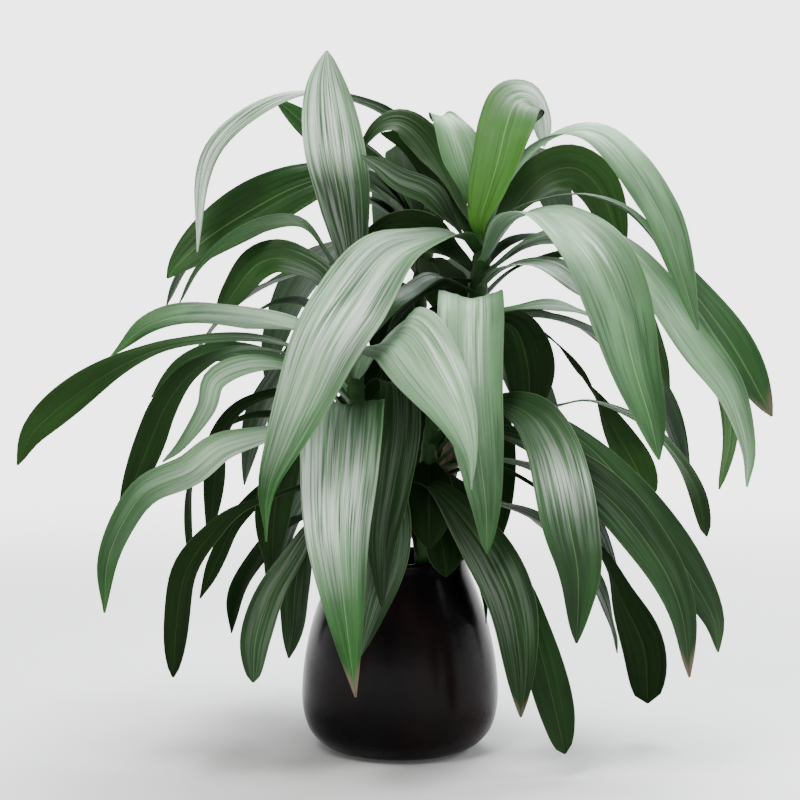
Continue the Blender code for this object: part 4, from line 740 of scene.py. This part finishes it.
def closed_rings(rings):
    """Points and faces of a skin over rings of points, closed by a point at each end."""
    count, sides = rings.shape[:2]
    ids = np.arange(count * sides).reshape(count, sides)
    after = np.roll(ids, -1, axis=1)
    first = np.full(sides, count * sides)
    last = first + 1
    quads = np.stack([ids[:-1].ravel(), ids[1:].ravel(), after[1:].ravel(), after[:-1].ravel()], axis=1)
    start = np.stack([first, ids[0], after[0]], axis=1)
    end = np.stack([ids[-1], last, after[-1]], axis=1)
    middles = [rings[0].mean(axis=0)[None, :], rings[-1].mean(axis=0)[None, :]]
    return np.concatenate([rings.reshape(-1, 3)] + middles), [quads, start, end]


def tube_rings(points, radii, sides):
    """Rings of points round a path. radii has one row for each point and one column for each side."""
    along = unit(np.gradient(points, axis=0))
    side = unit(np.cross(along, (0.0, 1.0, 0.0)))
    other = np.cross(side, along)
    angles = np.linspace(0.0, math.tau, sides, endpoint=False)
    ring = side[:, None, :] * np.cos(angles)[None, :, None]
    ring = ring + other[:, None, :] * np.sin(angles)[None, :, None]
    return points[:, None, :] + ring * radii[:, :, None]


def turned_rings(profile, sides):
    """Rings of points for a profile of (radius, height) turned round the Z axis."""
    angles = np.linspace(0.0, math.tau, sides, endpoint=False)
    radii = np.array([radius for radius, height in profile])[:, None]
    heights = np.array([height for radius, height in profile])[:, None] + 0.0 * angles
    return np.stack([radii * np.cos(angles), radii * np.sin(angles), heights], axis=-1)


def planted(head):
    """Where a stem stands: a point deep in the soil, and one a little above it."""
    across, back = head.foot
    heights = (SOIL_TOP - STEM_DEPTH, SOIL_TOP + STRAIGHT_FOOT)
    return [Vector((across * CM, back * CM, height)) for height in heights]


def add_stem(surface, head, rng):
    """The green stem of a leafy head, with the rings that old leaves left on it."""
    points = [Vector(point) * CM for point in head.stem]
    if head.cane is None:
        points = planted(head) + points
    else:
        points = [points[0], points[0] + Vector((0.0, 0.0, STRAIGHT_FOOT))] + points[1:]
    tip = points[-1] + (points[-1] - points[-2]).normalized() * STEM_TIP
    rows, sides = STEM_GRID
    curve = even_points(smooth_path(points + [tip], CURVE_STEPS), rows)
    length = float(np.linalg.norm(np.diff(curve, axis=0), axis=1).sum())
    distance = np.linspace(0.0, length, rows + 1)
    places = [length - away * STEM_TIP for away, share in STEM_NARROWING]
    narrowing = np.interp(distance, places, [share for away, share in STEM_NARROWING])
    rings = 1.0 - STEM_SCARS * np.abs(np.sin(math.pi * distance / SCAR_SPACING)) ** STEM_SCAR_POWER
    radii = (head.radius * CM * STEM_FIT * narrowing * rings)[:, None] * np.ones(sides)
    points, faces = closed_rings(tube_rings(curve, radii, sides))
    size = len(points)
    place = np.zeros((size, 3))
    place[:, 0] = rng.uniform(-STEM_BREADTH, STEM_BREADTH, size)
    place[:, 1] = points[:, 2] * PLACE_SCALE
    zeros = np.zeros(size)
    surface.add(points, faces, place=place, tone=np.tile(STEM_TONE, (size, 1)), brown=zeros,
                ridge=zeros, edge=np.full(size, STEM_EDGE), under=zeros)


def make_head(head, material):
    """A leafy head's fine piece, which stands for its CAD node."""
    surface = Surface()
    rng = np.random.default_rng(sum(map(ord, head.name)))
    add_stem(surface, head, rng)
    for leaf in head.leaves:
        path = [stem_point(head, leaf.root)] + [seen_point(*point) for point in leaf.path]
        add_blade(surface, path, leaf.width * CM, leaf.widest, leaf.turn, leaf.taper,
                  HAND_PLACED_GRID, leaf._asdict(), rng)
    for arch in map(Arch._make, head.arches):
        tone = SHORT_ARCH_TONE if arch.length < SHORT_ARCH else ARCH_TONE
        add_blade(surface, arch_path(head, arch), arch.width * CM, ARCH_WIDEST, 0.0, BASE_SWELL,
                  ARCH_GRID, tone, rng)
    piece = surface.build("fine_" + head.name, material)
    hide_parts(head.name)
    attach(piece, "root")


def skin_mesh(name, points, face_groups):
    """A mesh of a closed skin."""
    mesh = bpy.data.meshes.new(name)
    mesh.from_pydata(points.tolist(), [], [face for group in face_groups for face in group.tolist()])
    return mesh


def make_cane(head, material):
    """A woody cane with ring scars, which stands for its CAD node."""
    top = Vector(head.stem[0]) * CM
    foot, surface = planted(head)
    collar = top - Vector((0.0, 0.0, CANE_COLLAR))
    middle = surface.lerp(collar, 0.5) + Vector((0.0, 0.0, CANE_BEND))
    path = [foot] + smooth_path([surface, middle, collar], CANE_CURVE_STEPS) + [top]
    rows, sides = CANE_GRID
    curve = even_points(path, rows)
    rng = np.random.default_rng(len(head.cane) + CANE_SEED)
    heights = curve[:, 2][:, None]
    angles = np.linspace(0.0, math.tau, sides, endpoint=False)[None, :]
    rings = np.sin(math.pi * heights / SCAR_SPACING + CANE_SCAR_TILT * np.sin(angles))
    scars = np.abs(rings) ** CANE_SCAR_POWER
    grooves = 0.5 + 0.5 * np.sin(GROOVE_COUNT * angles + GROOVE_TWIST * heights)
    rough = rng.uniform(-1.0, 1.0, (rows + 1, sides))
    shares = CANE_FIT - CANE_SCARS * scars - CANE_GROOVES * grooves + CANE_ROUGHNESS * rough
    radii = (head.radius * CM + CANE_EXTRA_RADIUS) * shares
    points, faces = closed_rings(tube_rings(curve, radii, sides))
    piece = finished("fine_" + head.cane, skin_mesh(head.cane, points, faces), material)
    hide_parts(head.cane)
    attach(piece, "root")


def fine_outline():
    """The pot's outer outline as a smooth curve, in metres."""
    corners = [Vector((radius * CM, height * CM, 0.0)) for radius, height in POT_OUTLINE]
    return [(point.x, point.y) for point in smooth_path(corners, POT_FINE_STEPS)]


def make_pot(material):
    """The glazed pot, turned fine, which stands for its CAD node."""
    outside = fine_outline()
    foot = outside[0][0]
    rim_radius, rim_height = outside[-1]
    lowest = POT_FLOOR + POT_FLOOR_ROUNDING
    inside = [(radius - POT_WALL, height) for radius, height in outside if height > lowest]
    middle = rim_radius - POT_WALL / 2.0
    rim = []
    for step in range(POT_RIM_FINE_STEPS):
        angle = math.pi * (1.0 - (step + 0.5) / POT_RIM_FINE_STEPS)
        radius = middle + math.cos(angle) * POT_WALL / 2.0
        rim.append((radius, rim_height + math.sin(angle) * POT_RIM_RISE))
    floor = [(POT_FLOOR_SHARE * foot, POT_FLOOR), (inside[0][0] - POT_FLOOR_ROUNDING, POT_FLOOR)]
    profile = floor + inside + rim + outside[::-1] + [(POT_FOOT_SHARE * foot, 0.0)]
    points, faces = closed_rings(turned_rings(profile, POT_FINE_SIDES))
    piece = finished("glazed_pot", skin_mesh("glazed_pot", points, faces), material)
    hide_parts("pot")
    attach(piece, "root")


def add_crumbs(solid, reach):
    """Crumbs of soil on the surface, out to this radius."""
    rng = random.Random(CRUMB_SEED)
    for _ in range(CRUMBS):
        angle = rng.uniform(0.0, math.tau)
        radius = reach * math.sqrt(rng.random())
        size = rng.uniform(*CRUMB_SIZES)
        height = SOIL_TOP - CRUMB_SINK + CRUMB_RISE * size
        spot = Vector((radius * math.cos(angle), radius * math.sin(angle), height))
        made = bmesh.ops.create_icosphere(solid, subdivisions=1, radius=size)
        for vert in made["verts"]:
            stretch = Vector([rng.uniform(*limits) for limits in CRUMB_STRETCH])
            vert.co = vert.co * stretch + spot


def make_soil(material):
    """Soil with an uneven crumbly surface, which stands for its CAD node."""
    wall = [(radius - POT_WALL, height) for radius, height in fine_outline()]
    lowest = POT_FLOOR + SOIL_CORNER
    highest = SOIL_TOP - SOIL_EDGE
    side = [(radius, height) for radius, height in wall if lowest < height < highest]
    edge = side[-1][0]
    crown = [(edge * (step + 0.5) / SOIL_RINGS, SOIL_TOP) for step in range(SOIL_RINGS)]
    profile = crown + side[::-1] + [(side[0][0] - SOIL_CORNER, POT_FLOOR + SOIL_LIFT)]
    rings = turned_rings(profile, SOIL_FINE_SIDES)
    coarse, fine = BUMP_SCALES
    for row in rings[:SOIL_RINGS]:
        for point in row:
            bumps = noise.noise(Vector(point) * coarse) + 0.5 * noise.noise(Vector(point) * fine)
            point[2] += BUMP_HEIGHT * bumps - BUMP_SINK
    points, faces = closed_rings(rings)
    solid = bmesh.new()
    corners = [solid.verts.new(point) for point in points]
    for group in faces:
        for face in group.tolist():
            solid.faces.new([corners[index] for index in face])
    add_crumbs(solid, edge * CRUMB_SPREAD)
    mesh = bpy.data.meshes.new("crumbly_soil")
    solid.to_mesh(mesh)
    solid.free()
    piece = finished("crumbly_soil", mesh, material)
    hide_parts("soil")
    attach(piece, "root")


class Nodes:
    """Short calls that add nodes to the tree of a material or a world."""

    def __init__(self, owner):
        owner.use_nodes = True
        self.owner = owner
        self.tree = owner.node_tree

    def put(self, sockets, values):
        """Links or sets the sockets with these names or numbers."""
        for name, value in values.items():
            if isinstance(value, bpy.types.NodeSocket):
                self.tree.links.new(value, sockets[name])
            elif sockets[name].type == "RGBA":
                sockets[name].default_value = (*value, 1.0)
            else:
                sockets[name].default_value = value

    def add(self, kind, values, **settings):
        """A new node's outputs."""
        node = self.tree.nodes.new("ShaderNode" + kind)
        for name, setting in settings.items():
            setattr(node, name, setting)
        self.put(node.inputs, values)
        return node.outputs

    def attribute(self, name, output="Fac"):
        return self.add("Attribute", {}, attribute_name=name)[output]

    def coordinate(self, kind):
        return self.add("TexCoord", {})[kind]

    def plus(self, first, second, clamp=False):
        return self.add("Math", {0: first, 1: second}, operation="ADD", use_clamp=clamp)[0]

    def times(self, first, second, clamp=False):
        return self.add("Math", {0: first, 1: second}, operation="MULTIPLY", use_clamp=clamp)[0]

    def scaled(self, vector, factors):
        return self.add("VectorMath", {0: vector, 1: factors}, operation="MULTIPLY")[0]

    def noise(self, vector, scale, detail=2.0, roughness=0.5):
        values = {"Vector": vector, "Scale": scale, "Detail": detail, "Roughness": roughness}
        return self.add("TexNoise", values)[0]

    def streaked(self, vector, factors, roughness):
        return self.noise(self.scaled(vector, factors), 1.0, 2.0, roughness)

    def rise(self, value, start, end, low=0.0, high=1.0):
        """A smooth change from low to high as the value goes from start to end."""
        values = {"Value": value, "From Min": start, "From Max": end, "To Min": low, "To Max": high}
        return self.add("MapRange", values, interpolation_type="SMOOTHSTEP")[0]

    def mix(self, share, first, second):
        return self.add("Mix", {0: share, 6: first, 7: second}, data_type="RGBA")[2]

    def layered(self, colour, layers):
        """The colour with each layer's colour mixed over it by that layer's share."""
        for share, tint in layers:
            colour = self.mix(share, colour, tint)
        return colour

    def bump(self, height, strength, distance):
        return self.add("Bump", {"Height": height, "Strength": strength, "Distance": distance})[0]

    def finish(self, colour, roughness, normal, specular):
        values = {"Base Color": colour, "Roughness": roughness, "Normal": normal}
        values["Specular IOR Level"] = specular
        self.put(self.tree.nodes["Principled BSDF"].inputs, values)
        return self.owner


def leaf_material():
    """Waxy leaf: green and sage with painted sheen, highlights and shade, veins, a pale midrib, a dry tip.
    """
    n = Nodes(bpy.data.materials.new("waxy_leaf"))
    place = n.attribute("place", "Vector")
    pale, dark, fresh = n.add("SeparateColor", {0: n.attribute("tone", "Color")})
    lilac = n.attribute("tone", "Alpha")
    ridge, under, brown, edge = map(n.attribute, ("ridge", "under", "brown", "edge"))

    # Patterns in the leaf's own place, from broad clouds to fine veins
    clouds = n.streaked(place, (1.1, 0.8, 1.0), 0.5)
    patches = n.streaked(place, (1.8, 1.3, 1.7), 0.5)
    streaks = n.streaked(place, (8.0, 0.7, 1.0), 0.6)
    fine = n.streaked(place, (21.0, 0.8, 1.0), 0.6)
    veins = n.streaked(place, (70.0, 0.3, 1.0), 0.7)
    both = n.plus(n.times(streaks, 0.55), n.times(fine, 0.45))
    crest = n.plus(both, n.times(ridge, 0.03))

    # How much each layer shows
    # The share of pale sage, partly painted sheen, in broad clouds and streaks
    bloom_and_sheen = n.plus(n.rise(clouds, 0.3, 0.6, 0.5, 0.85), n.rise(both, 0.40, 0.62, 0.0, 0.12))
    # A painted highlight on the pleats' crests of pale leaves, in patches
    crest_highlight = n.times(n.rise(pale, 0.45, 1.0), n.rise(crest, 0.44, 0.66), True)
    # Painted shade where the pleats dip, and fine dark lines along the blade
    valley_shade = n.plus(n.rise(fine, 0.43, 0.35, 0.0, 0.42), n.rise(ridge, -0.2, -0.9, 0.0, 0.25))
    # More fine dark lines where the painted grey sheen is
    deeper = n.times(n.rise(lilac, 0.3, 1.0), n.rise(fine, 0.49, 0.40, 0.0, 0.38))
    midrib = n.times(n.rise(edge, 0.030, 0.010, 0.0, 0.45), n.rise(dark, 0.2, 0.9, 1.0, 0.15))
    dry = n.plus(brown, n.times(n.plus(clouds, both), 0.25))

    green = n.mix(n.rise(clouds, 0.35, 0.65), LEAF_DEEP, LEAF_GREEN)
    colour = n.layered(green, [
        (n.rise(both, 0.44, 0.64, 0.0, 0.2), LEAF_LIGHT),
        # the pale sage, partly a painted sheen
        (n.times(pale, bloom_and_sheen, True), LEAF_SAGE),
        # the painted highlight
        (n.times(crest_highlight, n.rise(patches, 0.44, 0.62, 0.0, 0.6)), LEAF_PAINTED_HIGHLIGHT),
        (n.times(fresh, n.rise(both, 0.4, 0.6, 0.95, 0.7)), LEAF_FRESH),
        # the painted grey sheen
        (n.times(lilac, n.rise(both, 0.42, 0.6, 0.05, 1.0)), LEAF_LILAC),
        # painted shade
        (n.times(dark, n.rise(both, 0.45, 0.62, 0.97, 0.9)), LEAF_DARK),
        # painted shade in the pleats' valleys, and fine dark lines
        (n.plus(valley_shade, deeper, True), LEAF_VALLEY_SHADE),
        (midrib, LEAF_MIDRIB),
        (n.rise(edge, 0.955, 0.995, 0.0, 0.25), LEAF_EDGE),
        # painted shade on the underside
        (n.times(under, n.rise(pale, 0.0, 1.0, 0.65, 0.1)), LEAF_UNDERSIDE_SHADE),
        (n.rise(dry, 0.75, 1.2), LEAF_DRY),
    ])

    # Shaded leaves are duller
    roughness = n.plus(n.rise(both, 0.35, 0.65, 0.42, 0.56), n.rise(dark, 0.4, 1.0, 0.0, 0.25))
    height = n.plus(n.times(veins, 0.6), n.times(fine, 0.8))
    shine = n.rise(dark, 0.4, 1.0, 0.12, 0.02)
    return n.finish(colour, roughness, n.bump(height, 0.25, 0.0004), shine)


def bark_material():
    """Grey-brown bark with ring scars and fine cracks."""
    n = Nodes(bpy.data.materials.new("ringed_bark"))
    place = n.coordinate("Object")
    patches = n.noise(place, 60.0, 4.0, 0.6)
    cracks = n.noise(n.scaled(place, (420.0, 420.0, 40.0)), 1.0, 4.0, 0.65)
    colour = n.mix(n.rise(patches, 0.35, 0.65), BARK_DARK, BARK_LIGHT)
    colour = n.mix(n.rise(cracks, 0.55, 0.35, 0.0, 0.7), colour, BARK_CRACK)
    height = n.plus(cracks, n.times(patches, 0.5))
    return n.finish(colour, n.rise(cracks, 0.3, 0.7, 0.9, 0.7), n.bump(height, 0.7, 0.001), 0.3)


def soil_material():
    """Dark moist potting mix with lighter fibres."""
    n = Nodes(bpy.data.materials.new("potting_mix"))
    place = n.coordinate("Object")
    grains = n.noise(place, 420.0, 4.0, 0.7)
    patches = n.noise(place, 70.0, 3.0, 0.6)
    colour = n.mix(n.rise(grains, 0.35, 0.65), SOIL_DARK, SOIL_BROWN)
    colour = n.mix(n.rise(patches, 0.60, 0.72, 0.0, 0.6), colour, SOIL_FIBRE)
    return n.finish(colour, n.rise(grains, 0.3, 0.7, 0.95, 0.8), n.bump(grains, 0.9, 0.0015), 0.25)


def glaze_material():
    """Near-black glaze with faint red-brown patches, partly its own tone and partly a painted sheen."""
    n = Nodes(bpy.data.materials.new("black_glaze"))
    place = n.coordinate("Object")
    clouds = n.noise(n.scaled(place, (1.0, 1.0, 0.6)), 14.0, 3.0, 0.55)
    ripples = n.noise(n.scaled(place, (1.0, 1.0, 2.2)), 45.0)
    specks = n.noise(place, 900.0, 2.0, 0.6)
    colour = n.mix(n.rise(clouds, 0.40, 0.80), GLAZE_BLACK, GLAZE_RED)
    colour = n.mix(n.rise(specks, 0.70, 0.78, 0.0, 0.25), colour, GLAZE_SPECK)
    height = n.plus(ripples, n.times(specks, 0.03))
    return n.finish(colour, n.rise(clouds, 0.2, 0.8, 0.20, 0.28), n.bump(height, 0.2, 0.0015), 0.05)


def make_floor():
    """A plain pale floor, which fades into the pale surroundings far from the plant."""
    mesh = bpy.data.meshes.new("pale_floor")
    half = FLOOR_REACH
    corners = [(-half, -half, 0.0), (half, -half, 0.0), (half, half, 0.0), (-half, half, 0.0)]
    mesh.from_pydata(corners, [], [(0, 1, 2, 3)])
    n = Nodes(bpy.data.materials.new("pale_floor"))
    place = n.coordinate("Object")
    grain = n.noise(place, 30.0, 3.0)
    n.finish(n.mix(grain, FLOOR_GREY, FLOOR_PALE), 0.7, n.bump(grain, 0.05, 0.001), 0.2)
    away = n.add("VectorMath", {0: place}, operation="LENGTH")["Value"]
    glow = n.add("Emission", {"Color": SURROUND_COLOUR, "Strength": SURROUND_STRENGTH})[0]
    near = n.tree.nodes["Principled BSDF"].outputs[0]
    blend = n.add("MixShader", {0: n.rise(away, FADE_START, FADE_END), 1: near, 2: glow})[0]
    n.put(n.tree.nodes["Material Output"].inputs, {"Surface": blend})
    floor = finished("pale_floor", mesh, n.owner)


def make_light(name, place, size, power, colour):
    """A soft square light that points at the plant."""
    light = bpy.data.lights.new(name, "AREA")
    light.size = size
    light.energy = power
    light.color = colour
    lamp = shown(name, light)
    lamp.location = place
    aim = Vector((0.0, 0.0, VIEW_AIM * CM))
    lamp.rotation_euler = (aim - Vector(place)).to_track_quat("-Z", "Y").to_euler()


def make_world():
    """Pale surroundings that light the plant softly from all round."""
    world = bpy.data.worlds.new("pale_surroundings")
    n = Nodes(world)
    height = n.add("SeparateXYZ", {0: n.coordinate("Generated")})["Z"]
    strength = n.rise(height, SKY_START, SKY_END, SURROUND_STRENGTH, SKY_STRENGTH)
    n.put(n.tree.nodes["Background"].inputs, {"Color": SURROUND_COLOUR, "Strength": strength})
    bpy.context.scene.world = world


def make_camera():
    """A camera where the photograph was taken from."""
    camera = bpy.data.cameras.new("photo_camera")
    camera.sensor_fit = "HORIZONTAL"
    camera.angle = 2.0 * math.atan(0.5 * VIEW_FIELD / VIEW_DISTANCE)
    seat = shown("photo_camera", camera)
    aim = Vector((0.0, 0.0, VIEW_AIM * CM))
    seat.location = aim + VIEW_BACK * VIEW_DISTANCE * CM
    seat.rotation_euler = (-VIEW_BACK).to_track_quat("-Z", "Y").to_euler()
    bpy.context.scene.camera = seat


leaf = leaf_material()
bark = bark_material()
make_pot(glaze_material())
make_soil(soil_material())
for head in HEADS:
    make_head(head, leaf)
    if head.cane is not None:
        make_cane(head, bark)
make_floor()
make_world()
for lamp in LIGHTS:
    make_light(*lamp)
make_camera()
bpy.context.view_layer.update()
